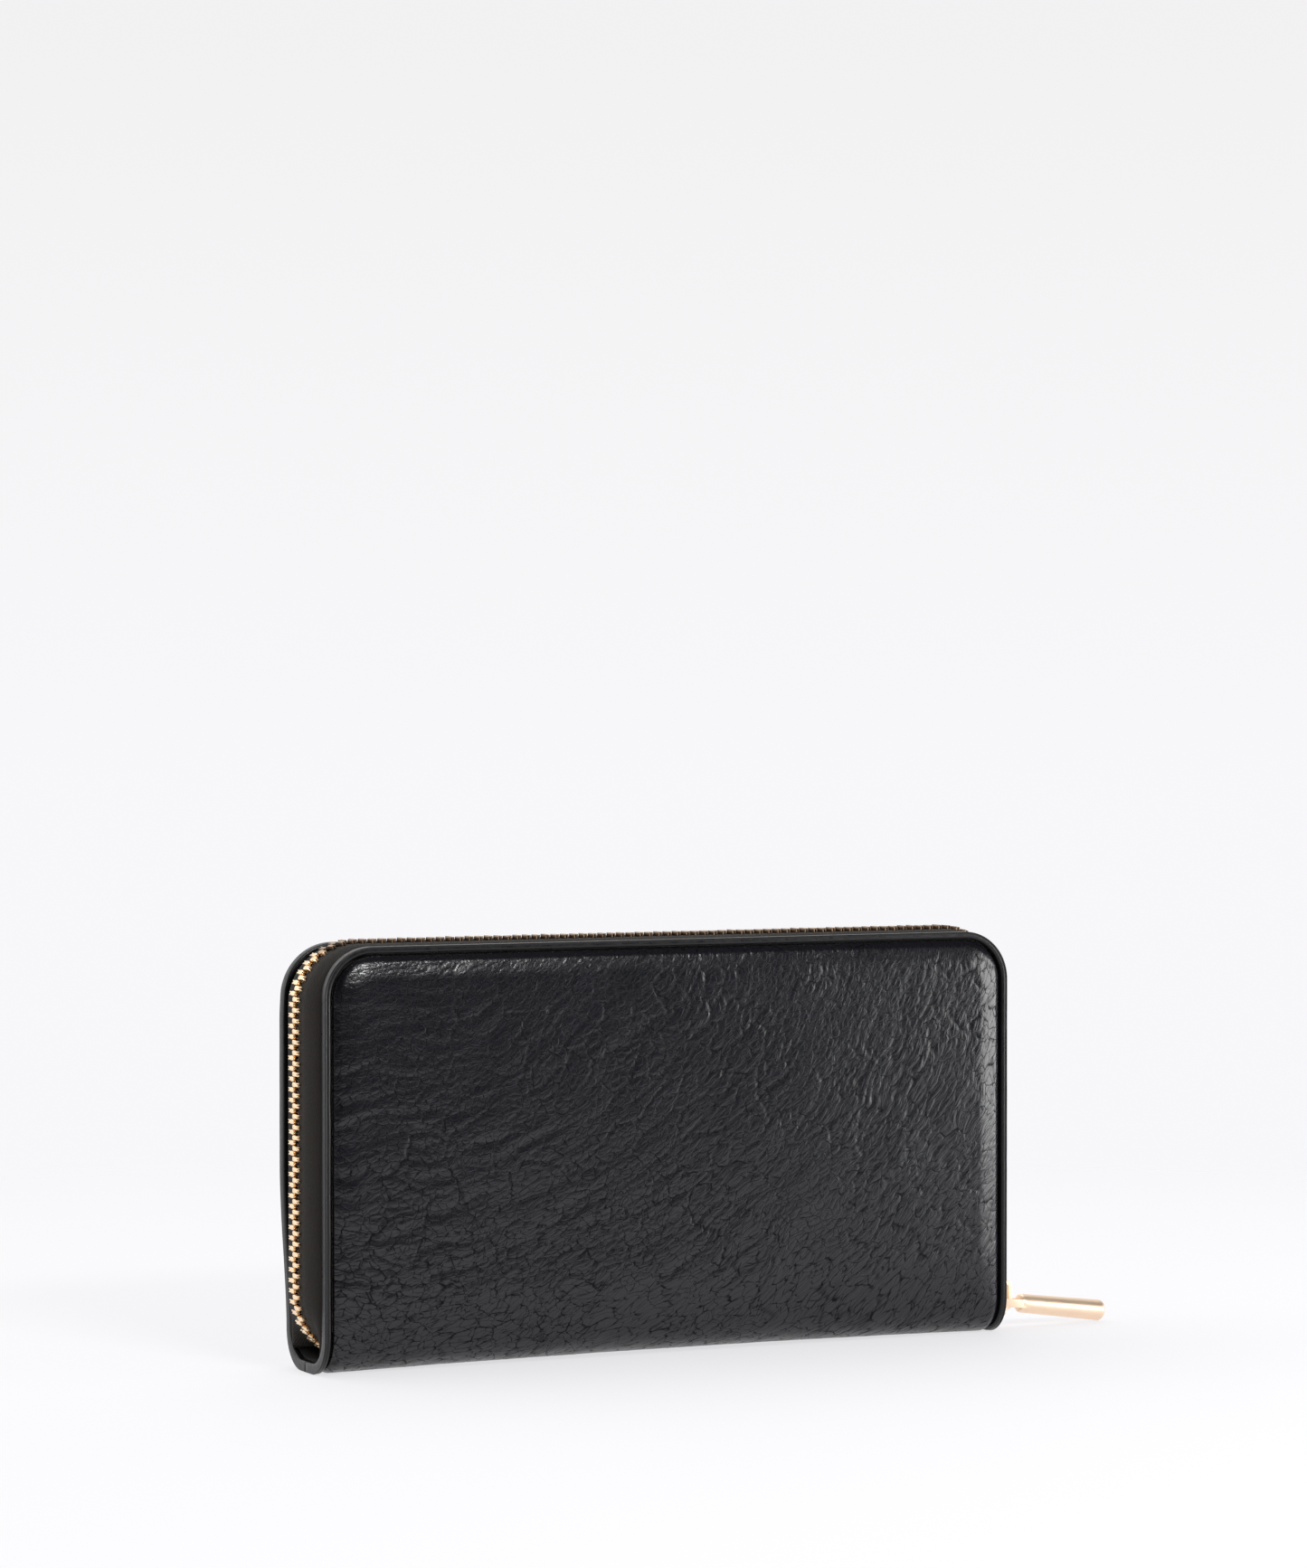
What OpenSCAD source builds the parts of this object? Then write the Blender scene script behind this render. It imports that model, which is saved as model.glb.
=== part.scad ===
// Zip-around wallet, closed and standing on its spine.
// +X runs along the width towards the zip pull, +Y towards the back cover, +Z up.
// The origin is the middle of the spine's flat base. All lengths are in millimetres.

/* [Covers] */
// Width of the closed covers, side to side
cover_w = 190; // [184:1:200]
// Height of the covers above the table
cover_h = 104.8; // [102:0.2:112]
// Thickness of the closed wallet, front face to back face
body_t = 26; // [25.8:0.1:28]
// Radius of the covers' upper corners
corner_r = 12.5; // [10:0.5:14]
// Radius of the spine's two lower edges
spine_r = 9.5; // [8.5:0.5:10]
// Thickness of the outer leather
leather_t = 1.1; // [1:0.05:1.2]
// Thickness of the stiffening boards
board_t = 0.9; // [0.8:0.05:1]
// Thickness of the lining
lining_t = 0.7; // [0.6:0.05:0.8]
// Width of the strip that binds the edges
binding_w = 2.2; // [1.8:0.1:3]

/* [Main zip] */
// Distance from the covers' sides out to the zip's tape
zip_side_out = 2.15; // [1.8:0.05:2.6]
// Distance from the covers' top edges up to the zip's tape
zip_top_out = 0.05; // [0:0.05:1]
// Radius of the tape round the upper corners
zip_r = 14.85; // [13:0.05:16]
// Distance from one tooth to the next in the same row
tooth_pitch = 2.6; // [2.5:0.05:2.8]
// Height of a tooth, from the inside of the wallet to the outside
tooth_h = 2.3; // [2:0.1:2.6]
// Thickness of a tooth along the zip
tooth_t = 1.1; // [0.9:0.05:1.1]
// Thickness of the woven tape
tape_t = 0.5; // [0.4:0.05:0.6]
// Radius on which the zip's left end curls into the spine
end_r = 16.65; // [15:0.05:18]

/* [Slider and pull] */
// Length of the slider along the zip
slider_l = 9.4; // [9:0.1:10.5]
// Thickness of the slider's two blades
blade_t = 0.9; // [0.7:0.05:1]
// Length of the pull, from its pivot to its tip
pull_l = 31; // [24:0.5:34]
// Radius of the pull's bar at the slider's end
pull_r = 2.45; // [2.2:0.05:2.6]
// Radius of the pull's bar near its tip
pull_tip_r = 2.75; // [2.4:0.05:2.8]
// Angle of the resting pull below level
pull_droop = 7.5; // [5:0.1:7.5]

/* [Inside] */
// Width of the coin pocket
coin_w = 164; // [150:1:168]
// Height of the top of the coin pocket's walls
coin_h = 76; // [70:1:80]
// Thickness of the closed coin pocket over its walls
coin_t = 6.4; // [6:0.1:6.4]
// Width of the card slots
slot_w = 172; // [160:1:174]
// Height of the top of the full-width pocket behind the card slots
slip_h = 90; // [86:1:94]
// Distance between the tops of two neighbouring card slots
slot_step = 11; // [9:0.5:12]
// Thickness of the leather of a card slot
slot_t = 0.5; // [0.4:0.05:0.5]
// Size of the coin zip against the main zip
coin_scale = 0.75; // [0.7:0.01:0.8]

/* [Hidden] */
$fn = 48;
half_w = cover_w / 2;
half_t = body_t / 2;
shell_t = leather_t + board_t + lining_t;
inner_y = half_t - shell_t;
fold_z = spine_r + 1.5;
fold_gap = 0.15;
touch = 0.05;

// The zip's path: its sides, its top, and the middles of its two corners.
zip_x = half_w + zip_side_out;
zip_z = cover_h + zip_top_out;
zip_cx = zip_x - zip_r;
zip_cz = zip_z - zip_r;
corner_l = zip_r * PI / 2;
side_z = 20;
half_run = zip_cx + corner_l + zip_cz - side_z;
left_end_l = 18;
right_end_l = 10.6;
left_end_a = 63;
end_gap_a = 1;
run_teeth = floor(half_run / tooth_pitch);
left_teeth = (half_run + left_end_l) / tooth_pitch;
right_teeth = (half_run + right_end_l) / tooth_pitch;

// Half of the tape's section: its inner edge, where it leaves the level, and its sewn edge.
tape_edge = 1.3;
tape_flat = 5.2;
tape_sewn = inner_y - touch;
tape_dip = 3.4;
end_tape = 4.8;
end_gap = 0.2;
tape_room = tape_t + 2 * touch;
stop_l = 1.6;

// Slider: the room it leaves for teeth and tape, and the places of its crown and its pivot.
channel_u = tooth_h / 2 + 0.2;
slot_u = tape_t / 2 + 0.25;
flange_t = 0.7;
shoulder_w = 4.9;
tail_w = 4.1;
slider_z = 3.6;
crown_w = 2.2;
crown_room = 2.8;
crown_t = 1.1;
crown_s0 = 0.8;
crown_s1 = 8.8;
blade_top = channel_u + blade_t;
pivot_u = blade_top + crown_room / 2;
pivot_s = 3.1;
web_r = 1.1;
tongue_t = 2.3;
tongue_w = 4.8;
hole_w = 2.9;
bar_start = 5;

// Coin pocket, its zip and its slider.
coin_wall_t = 0.6;
coin_floor_z = shell_t + 0.1;
coin_zip_z = coin_h + 5;
coin_zip_x = 74;
coin_slider_x = 76;
coin_tape_y = 4.5;
coin_pull_a = 80;
coin_pull_l = 20;
coin_teeth = floor(2 * coin_zip_x / (tooth_pitch * coin_scale));
coin_last_x = 70.8;

// Card slots and gussets.
slot_floor_z = fold_z + 1.5;
slip_t = 0.6;
slip_y = inner_y - slip_t;
bank_y = slip_y - 4 * slot_t;
slot_top_z = 80;
gusset_t = 0.4;
gusset_z0 = 12;
gusset_z1 = coin_h;
gusset_fold_x = 70;

leather_c = [0.07, 0.07, 0.08];
binding_c = [0.11, 0.11, 0.12];
board_c = [0.55, 0.45, 0.33];
lining_c = [0.13, 0.12, 0.12];
tape_c = [0.09, 0.08, 0.07];
gold_c = [0.92, 0.74, 0.55];
pocket_c = [0.1, 0.1, 0.11];
coin_c = [0.16, 0.15, 0.15];

// ---- Shell: spine and covers ----

// Section across the wallet, y to the right and z up, at a depth in from the outer face.
module u_section(depth) {
    r = spine_r - depth;
    half = half_t - depth;
    translate([-half, spine_r])
        square([2 * half, fold_z - spine_r - fold_gap]);
    translate([-(half - r), depth])
        square([2 * (half - r), fold_z - fold_gap - depth]);
    for (side = [-1, 1])
        intersection() {
            translate([side * (half - r), spine_r]) circle(r = r);
            translate([-half, depth]) square([2 * half, r]);
        }
}

// A layer of the spine between two depths, from x0 to x1.
module spine_layer(d0, d1, x0, x1) {
    translate([x0, 0, 0])
        rotate([90, 0, 90])
            linear_extrude(x1 - x0)
                difference() {
                    u_section(d0);
                    u_section(d1);
                    translate([-half_t + d1, spine_r])
                        square([2 * (half_t - d1), 2 * fold_z]);
                }
}

// Outline of a cover from the front, inset from its edge, from a height z0 up.
module cover_outline(inset, z0) {
    half = half_w - inset;
    top = cover_h - inset;
    r = corner_r - inset;
    translate([-half, z0]) square([2 * half, top - r - z0]);
    translate([-(half - r), z0]) square([2 * (half - r), top - z0]);
    for (side = [-1, 1])
        translate([side * (half - r), top - r]) circle(r = r);
}

// An upright sheet of thickness t whose front face lies at y.
module upright(y, t) {
    translate([0, y + t, 0]) rotate([90, 0, 0]) linear_extrude(t) children();
}

module cover_sheet(inset, depth, t) {
    upright(-half_t + depth, t) cover_outline(inset, fold_z + fold_gap);
}

module cover_leather() {
    color(leather_c) cover_sheet(binding_w, 0, leather_t);
}

module cover_board() {
    color(board_c) cover_sheet(binding_w + 0.3, leather_t, board_t);
}

module cover_lining() {
    color(lining_c) cover_sheet(binding_w, leather_t + board_t, lining_t);
}

module cover_binding() {
    color(binding_c)
        upright(-half_t, shell_t)
            difference() {
                cover_outline(0, fold_z + fold_gap);
                cover_outline(binding_w, 0);
            }
}

module spine_leather() {
    color(leather_c) spine_layer(0, leather_t, -half_w + binding_w, half_w - binding_w);
}

module spine_board() {
    flat = half_t - spine_r;
    length = cover_w - 2 * binding_w - 4;
    color(board_c)
        translate([-length / 2, -flat, leather_t]) cube([length, 2 * flat, board_t]);
}

// The lining of the spine lies on the leather, and has a channel under it for the board.
module spine_lining() {
    color(lining_c)
        spine_layer(leather_t + board_t, shell_t, -half_w + binding_w, half_w - binding_w);
}

module spine_binding() {
    color(binding_c)
        for (side = [-1, 1])
            spine_layer(0, shell_t, side * (half_w - binding_w / 2) - binding_w / 2,
                        side * (half_w - binding_w / 2) + binding_w / 2);
}

// ---- Main zip ----

// Places its children on the right half of the zip's path, d along it from the middle of the top.
// Local x points out of the wallet, y across the zip, z along it.
module on_half_path(d, curls) {
    if (d < zip_cx)
        translate([d, 0, zip_z]) rotate([0, -90, 0]) children();
    else if (d < zip_cx + corner_l)
        translate([zip_cx, 0, zip_cz])
            rotate([0, (d - zip_cx) / zip_r * 180 / PI - 90, 0])
                translate([zip_r, 0, 0]) children();
    else if (!curls || d < half_run)
        translate([zip_x, 0, zip_cz + zip_cx + corner_l - d]) children();
    else
        translate([zip_x - end_r, 0, side_z])
            rotate([0, (d - half_run) / end_r * 180 / PI, 0])
                translate([end_r, 0, 0]) children();
}

// Places its children on the whole path. Left of the middle s is below zero.
module on_path(s) {
    if (s < 0)
        mirror([1, 0, 0]) on_half_path(-s, true) children();
    else
        on_half_path(s, false) children();
}

// The room that a metal part on the front tape leaves for that tape.
module tape_slot(reach, length) {
    translate([-tape_room / 2, -reach, -length / 2])
        cube([tape_room, reach - tape_edge + touch, length]);
}

// One tooth of the front row: two legs that straddle the tape, and the head.
module tooth() {
    leg = tooth_t / 2 - 0.08;
    head = tooth_t / 2;
    difference() {
        rotate([90, 0, 90])
            linear_extrude(tooth_h, center = true)
                polygon([
                    [-2.95, -leg], [-1.3, -leg], [-1, -head], [0.2, -head], [0.45, -head + 0.25],
                    [0.45, head - 0.25], [0.2, head], [-1, head], [-1.3, leg], [-2.95, leg]
                ]);
        tape_slot(3.2, 2 * tooth_t);
    }
}

module front_teeth(first, last) {
    for (k = [first:last]) on_path(k * tooth_pitch) tooth();
}

// The back row stands half a pitch from the front row.
module back_teeth(first, last) {
    for (k = [first:last])
        on_path((k - 0.5) * tooth_pitch) mirror([0, 1, 0]) tooth();
}

// Half of the tape's section, x out of the wallet and y across the zip.
module tape_section() {
    t = tape_t / 2;
    polygon([
        [t, -tape_edge], [t, -tape_flat], [t - tape_dip, -tape_sewn],
        [-t - tape_dip, -tape_sewn], [-t, -tape_flat], [-t, -tape_edge]
    ]);
}

module half_tape() {
    translate([zip_x, 0, side_z]) linear_extrude(zip_cz - side_z) tape_section();
    translate([zip_cx, 0, zip_cz])
        mirror([0, 1, 0])
            rotate([90, 0, 0])
                rotate_extrude(angle = 90) translate([zip_r, 0]) tape_section();
}

module cover_tape() {
    color(tape_c) {
        half_tape();
        mirror([1, 0, 0]) half_tape();
        translate([0, 0, zip_z])
            rotate([0, -90, 0])
                linear_extrude(2 * zip_cx, center = true) tape_section();
    }
}

// Sections of both tapes where they run into the spine.
module end_tape_sections() {
    for (side = [-1, 1])
        translate([-tape_t / 2, side * (tape_edge + end_tape) / 2 - (end_tape - tape_edge) / 2])
            square([tape_t, end_tape - tape_edge]);
}

module left_end_tape() {
    color(tape_c)
        mirror([1, 0, 0])
            translate([zip_x - end_r, 0, side_z])
                rotate([-90, 0, 0])
                    rotate([0, 0, end_gap_a])
                        rotate_extrude(angle = left_end_a)
                            translate([end_r, 0]) end_tape_sections();
}

module left_end_teeth() {
    color(gold_c) {
        front_teeth(-floor(left_teeth), -run_teeth - 1);
        back_teeth(-floor(left_teeth + 0.5) + 1, -run_teeth);
    }
}

module right_end_tape() {
    z0 = slider_z + 0.4;
    color(tape_c)
        translate([zip_x, 0, z0]) linear_extrude(side_z - end_gap - z0) end_tape_sections();
}

module right_end_teeth() {
    color(gold_c) {
        front_teeth(run_teeth + 1, floor(right_teeth));
        back_teeth(run_teeth + 1, floor(right_teeth + 0.5));
    }
}

// A box stop that joins both tapes.
module box_stop() {
    difference() {
        cube([tooth_h * 0.8, 5.4, stop_l], center = true);
        tape_slot(3, 2 * stop_l);
        mirror([0, 1, 0]) tape_slot(3, 2 * stop_l);
    }
}

// Two stops, each folded over the edge of its own tape.
module top_stops() {
    for (side = [0, 1])
        mirror([0, side, 0])
            difference() {
                translate([-0.95, -2.85, -stop_l / 2]) cube([1.9, 1.8, stop_l]);
                tape_slot(3, 2 * stop_l);
            }
}

// The box stop sits at the left end, the two top stops inside the slider.
module zip_stops() {
    color(gold_c) {
        on_path(-half_run - left_end_l - stop_l / 2) box_stop();
        translate([zip_x, 0, slider_z + 1.9]) top_stops();
    }
}

// ---- Slider and pull, in the zip's own directions: x out, y across, z along from the wide end ----

module out_slab(u0, u1) {
    translate([u0, 0, 0]) rotate([90, 0, 90]) linear_extrude(u1 - u0) children();
}

module blade_outline() {
    polygon([
        [-shoulder_w, 0.6], [-shoulder_w + 0.8, 0], [shoulder_w - 0.8, 0], [shoulder_w, 0.6],
        [shoulder_w, slider_l * 0.3], [tail_w, slider_l * 0.65], [tail_w, slider_l - 0.8],
        [tail_w - 0.8, slider_l], [-tail_w + 0.8, slider_l], [-tail_w, slider_l - 0.8],
        [-tail_w, slider_l * 0.65], [-shoulder_w, slider_l * 0.3]
    ]);
}

// The way through the slider for the teeth.
module channel_outline() {
    wide = shoulder_w - flange_t;
    narrow = tail_w - flange_t;
    polygon([
        [-wide, -1], [wide, -1], [wide, slider_l * 0.3], [narrow, slider_l * 0.65],
        [narrow, slider_l + 1], [-narrow, slider_l + 1], [-narrow, slider_l * 0.65],
        [-wide, slider_l * 0.3]
    ]);
}

module flanges() {
    out_slab(slot_u, channel_u)
        difference() {
            blade_outline();
            channel_outline();
        }
}

module slider_body() {
    out_slab(channel_u, blade_top) blade_outline();
    out_slab(-blade_top, -channel_u) blade_outline();
    flanges();
    mirror([1, 0, 0]) flanges();
    out_slab(-channel_u, channel_u)
        polygon([[-0.8, 0.4], [0.8, 0.4], [1, 2.4], [0, 4], [-1, 2.4]]);
}

// Outline of an arch that stands on the blade, x out of it.
module arch_outline(height, s0, s1, r) {
    translate([blade_top, s0]) square([height - r, s1 - s0]);
    translate([blade_top, s0 + r]) square([height, s1 - s0 - 2 * r]);
    for (s = [s0 + r, s1 - r])
        translate([blade_top + height - r, s]) circle(r = r);
}

module slider_crown() {
    rotate([90, 0, 0])
        linear_extrude(crown_w, center = true)
            difference() {
                arch_outline(crown_room + crown_t, crown_s0, crown_s1, 1.8);
                arch_outline(crown_room, crown_s0 + crown_t, crown_s1 - crown_t, 0.9);
            }
}

// The end of a pull: a flat tongue with a hole for the crown, and a round web at the pivot.
module pull_tongue(length) {
    difference() {
        translate([0, -tongue_w / 2, -tongue_t / 2]) cube([length, tongue_w, tongue_t]);
        translate([-1, -hole_w / 2, -tongue_t]) cube([bar_start + 0.8, hole_w, 2 * tongue_t]);
    }
    rotate([90, 0, 0]) cylinder(r = web_r, h = tongue_w, center = true);
}

// Round bar that widens a little towards its domed tip.
module pull_bar() {
    length = pull_l - bar_start;
    translate([bar_start, 0, 0])
        rotate([0, 90, 0])
            rotate_extrude()
                polygon([
                    [0, 0], [pull_r - 0.5, 0], [pull_r, 0.5], [pull_tip_r, length - 1.4],
                    [pull_tip_r * 0.9, length - 0.7], [pull_tip_r * 0.6, length - 0.2], [0, length]
                ]);
}

module at_pivot(angle) {
    translate([pivot_u, 0, pivot_s]) rotate([0, angle, 0]) children();
}

module at_main_slider() {
    translate([zip_x, 0, slider_z]) children();
}

module zip_slider_body() {
    color(gold_c) at_main_slider() slider_body();
}

module zip_slider_crown() {
    color(gold_c) at_main_slider() slider_crown();
}

module zip_pull() {
    color(gold_c)
        at_main_slider()
            at_pivot(pull_droop) {
                pull_tongue(bar_start + 1.5);
                pull_bar();
            }
}

// ---- Coin pocket ----

module coin_front_wall() {
    color(coin_c)
        translate([-coin_w / 2, -coin_t / 2, coin_floor_z])
            cube([coin_w, coin_wall_t, coin_h - coin_floor_z]);
}

module coin_back_wall() {
    color(coin_c) mirror([0, 1, 0]) coin_front_wall();
}

// Strips that close the pocket at its sides and its bottom.
module coin_edge_strip() {
    strip = 1.5;
    inside = coin_t - 2 * coin_wall_t;
    color(coin_c) {
        for (side = [-1, 1])
            translate([side * (coin_w - strip) / 2 - strip / 2, -inside / 2, coin_floor_z + strip])
                cube([strip, inside, coin_h - coin_floor_z - strip]);
        translate([-coin_w / 2, -inside / 2, coin_floor_z]) cube([coin_w, inside, strip - touch]);
    }
}

// A band of thickness t along a line of points, in the plane of the section.
module band(points, t) {
    for (i = [0:len(points) - 2]) {
        run = points[i + 1] - points[i];
        translate(points[i])
            rotate(atan2(run[1], run[0]))
                translate([0, -t / 2]) square([norm(run), t]);
    }
    for (i = [1:len(points) - 2])
        translate(points[i]) circle(d = t);
}

// The tape rises inside the wall, spreads round the slider and turns in to the teeth.
module coin_tape() {
    sewn_y = coin_t / 2 - coin_wall_t - 0.2;
    color(tape_c)
        translate([-coin_zip_x - 4, 0, 0])
            rotate([90, 0, 90])
                linear_extrude(2 * coin_zip_x + 8)
                    band([
                        [-sewn_y, coin_h - 6], [-sewn_y, coin_h + 0.7],
                        [-coin_tape_y, coin_zip_z - 2], [-coin_tape_y, coin_zip_z],
                        [-tape_edge * coin_scale, coin_zip_z]
                    ], 0.38);
}

module coin_front_tape() {
    coin_tape();
}

module coin_back_tape() {
    mirror([0, 1, 0]) coin_tape();
}

// Places its children on the coin zip. Its own z runs towards -X, x up.
module on_coin_zip(x) {
    translate([x, 0, coin_zip_z]) rotate([0, -90, 0]) scale(coin_scale) children();
}

module coin_front_teeth() {
    color(gold_c)
        for (k = [0:coin_teeth - 2])
            on_coin_zip(coin_last_x - k * tooth_pitch * coin_scale) tooth();
}

module coin_back_teeth() {
    color(gold_c)
        for (k = [0:coin_teeth - 2])
            on_coin_zip(coin_last_x - (k + 0.5) * tooth_pitch * coin_scale)
                mirror([0, 1, 0]) tooth();
}

module coin_zip_stops() {
    color(gold_c) {
        on_coin_zip(-coin_zip_x - 1.5) box_stop();
        on_coin_zip(coin_slider_x - 1.5) top_stops();
    }
}

module coin_slider_body() {
    color(gold_c) on_coin_zip(coin_slider_x) slider_body();
}

module coin_slider_crown() {
    color(gold_c) on_coin_zip(coin_slider_x) slider_crown();
}

// A short flat tab with round corners.
module coin_pull() {
    tab_w = 5.6;
    tab_t = 1.6;
    color(gold_c)
        on_coin_zip(coin_slider_x)
            at_pivot(coin_pull_a) {
                pull_tongue(bar_start + 1.5);
                translate([bar_start + 1, 0, -tab_t / 2])
                    linear_extrude(tab_t) {
                        translate([0, -tab_w / 2]) square([coin_pull_l - bar_start - 1, tab_w]);
                        translate([coin_pull_l - bar_start - 1, 0]) circle(d = tab_w);
                    }
            }
}

// ---- Inside of the covers ----

module slot_sheet(y, t, width, top) {
    upright(-y, t)
        translate([-width / 2, slot_floor_z]) square([width, top - slot_floor_z]);
}

module cover_slip_pocket() {
    color(pocket_c) slot_sheet(inner_y, slip_t, slot_w, slip_h);
}

// Card slots step down from the first, which lies deepest, to the fourth.
module cover_card_slot(number) {
    color(pocket_c)
        slot_sheet(slip_y - (number - 1) * slot_t, slot_t, slot_w, slot_top_z - (number - 1) * slot_step);
}

// A pleat between a cover's inside and the coin pocket, folded in towards the middle.
module gusset() {
    g = gusset_t / 2;
    coin_y = coin_t / 2 + g;
    bank_edge = bank_y - 0.3;
    color(lining_c)
        translate([0, 0, gusset_z0])
            linear_extrude(gusset_z1 - gusset_z0)
                band([
                    [half_w - 4, -inner_y + 0.1 + g], [half_w - 6.5, -inner_y + 0.1 + g],
                    [slot_w / 2 + 1.2, -bank_edge], [gusset_fold_x, -bank_edge + 0.2],
                    [gusset_fold_x, -bank_edge + 0.8],
                    [coin_w / 2 - 6, -coin_y], [coin_w / 2 - 0.5, -coin_y]
                ], gusset_t);
}

module right_front_gusset() {
    gusset();
}

module left_front_gusset() {
    mirror([1, 0, 0]) gusset();
}

module right_back_gusset() {
    mirror([0, 1, 0]) gusset();
}

module left_back_gusset() {
    mirror([1, 0, 0]) mirror([0, 1, 0]) gusset();
}

// ---- Front cover, and back cover as its mirror image ----

module front_leather() {
    cover_leather();
}

module front_board() {
    cover_board();
}

module front_lining() {
    cover_lining();
}

module front_binding() {
    cover_binding();
}

module front_zip_tape() {
    cover_tape();
}

module front_zip_teeth() {
    color(gold_c) front_teeth(-run_teeth, run_teeth);
}

module back_leather() {
    mirror([0, 1, 0]) cover_leather();
}

module back_board() {
    mirror([0, 1, 0]) cover_board();
}

module back_lining() {
    mirror([0, 1, 0]) cover_lining();
}

module back_binding() {
    mirror([0, 1, 0]) cover_binding();
}

module back_zip_tape() {
    mirror([0, 1, 0]) cover_tape();
}

module back_zip_teeth() {
    color(gold_c) back_teeth(-run_teeth + 1, run_teeth);
}

spine_leather();
spine_board();
spine_lining();
spine_binding();
left_end_tape();
left_end_teeth();
right_end_tape();
right_end_teeth();
zip_stops();
coin_front_wall();
coin_back_wall();
coin_edge_strip();
coin_front_tape();
coin_back_tape();
coin_front_teeth();
coin_back_teeth();
coin_zip_stops();
left_front_gusset();
left_back_gusset();
right_front_gusset();
right_back_gusset();
front_leather();
front_board();
front_lining();
front_binding();
front_zip_tape();
front_zip_teeth();
cover_slip_pocket();  // front_slip_pocket
cover_card_slot(1);  // front_card_slot_1
cover_card_slot(2);  // front_card_slot_2
cover_card_slot(3);  // front_card_slot_3
cover_card_slot(4);  // front_card_slot_4
back_leather();
back_board();
back_lining();
back_binding();
back_zip_tape();
back_zip_teeth();
mirror([0, 1, 0]) cover_slip_pocket();  // back_slip_pocket
mirror([0, 1, 0]) cover_card_slot(1);  // back_card_slot_1
mirror([0, 1, 0]) cover_card_slot(2);  // back_card_slot_2
mirror([0, 1, 0]) cover_card_slot(3);  // back_card_slot_3
mirror([0, 1, 0]) cover_card_slot(4);  // back_card_slot_4
zip_slider_body();
zip_slider_crown();
zip_pull();
coin_slider_body();
coin_slider_crown();
coin_pull();
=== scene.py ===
"""Looks of the zip-around wallet. Lengths inside the functions are millimetres in the model's own frame."""
import functools
import math

import bmesh
import bpy
import numpy as np
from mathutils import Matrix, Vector


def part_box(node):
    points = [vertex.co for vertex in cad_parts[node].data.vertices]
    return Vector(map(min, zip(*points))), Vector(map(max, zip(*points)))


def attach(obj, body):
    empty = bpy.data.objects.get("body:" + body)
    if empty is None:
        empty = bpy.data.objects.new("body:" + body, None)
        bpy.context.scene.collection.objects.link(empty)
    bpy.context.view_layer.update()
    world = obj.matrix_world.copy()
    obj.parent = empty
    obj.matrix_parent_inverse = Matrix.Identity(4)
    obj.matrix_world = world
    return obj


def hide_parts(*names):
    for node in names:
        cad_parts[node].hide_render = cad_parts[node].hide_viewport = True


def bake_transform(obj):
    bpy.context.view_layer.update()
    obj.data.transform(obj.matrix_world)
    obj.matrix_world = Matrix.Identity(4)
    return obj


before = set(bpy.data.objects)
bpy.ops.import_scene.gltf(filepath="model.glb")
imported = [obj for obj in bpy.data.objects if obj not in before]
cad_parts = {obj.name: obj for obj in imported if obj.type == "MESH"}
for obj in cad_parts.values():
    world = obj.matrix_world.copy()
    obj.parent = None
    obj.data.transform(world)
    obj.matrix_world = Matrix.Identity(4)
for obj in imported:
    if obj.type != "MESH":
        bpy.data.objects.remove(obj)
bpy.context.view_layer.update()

MM = 0.001


def span(node):
    """Lowest and highest corner of a CAD node, in millimetres."""
    return [np.array(c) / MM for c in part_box(node)]


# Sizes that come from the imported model.
HALF_W = span("front_binding")[1][0]
COVER_H = span("front_binding")[1][2]
HALF_T = -span("front_leather")[0][1]
LEATHER_T = np.ptp([c[1] for c in span("front_leather")])
SHELL_T = np.ptp([c[1] for c in span("front_binding")])
INNER_Y = HALF_T - SHELL_T
TAPE_T = 0.5
ZIP_X = span("front_zip_tape")[1][0] - TAPE_T / 2
ZIP_Z = span("front_zip_tape")[1][2] - TAPE_T / 2

# Radii and lengths of the design that no box shows.
TOOTH_HALF = 1.15
TOOTH_T = 1.1
SPINE_R = 9.5
CORNER_R = 12.5
ZIP_R = 14.85
END_R = 16.65
SIDE_Z = 20
PITCH = 2.6
LEFT_END = 18
RIGHT_END = 10.6
RIGHT_TAPE_END = 15.8
COIN_SCALE = 0.75
CLOTH = 0.17             # half the thickness of thin cloth

FLAT = HALF_T - SPINE_R
ARC = SPINE_R * math.pi / 2
FOLD_S = FLAT + ARC
TOP_S = FOLD_S + COVER_H - SPINE_R
ZIP_CX = ZIP_X - ZIP_R
ZIP_CZ = ZIP_Z - ZIP_R
CORNER_L = ZIP_R * math.pi / 2
HALF_RUN = ZIP_CX + CORNER_L + ZIP_CZ - SIDE_Z

COVERS = {"front": -1, "back": 1}


# ---- Numbers and noise ----

def label(side):
    """The name of the half on a side: -1 is the front, 1 the back."""
    return "front" if side < 0 else "back"


def smooth(x, a, b):
    """0 below a, 1 above b, smooth between."""
    t = np.clip((np.asarray(x, float) - a) / (b - a), 0, 1)
    return t * t * (3 - 2 * t)


def hash01(i, j, seed):
    """A fixed random number from 0 to 1 for each pair of whole numbers."""
    h = (i.astype(np.int64) * 374761393 + j.astype(np.int64) * 668265263 + seed * 974711) & 0xFFFFFFFF
    h = ((h ^ (h >> 13)) * 1274126177) & 0xFFFFFFFF
    h = ((h ^ (h >> 15)) * 2246822519) & 0xFFFFFFFF
    return ((h ^ (h >> 16)) & 0xFFFF) / 65535.0


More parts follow.
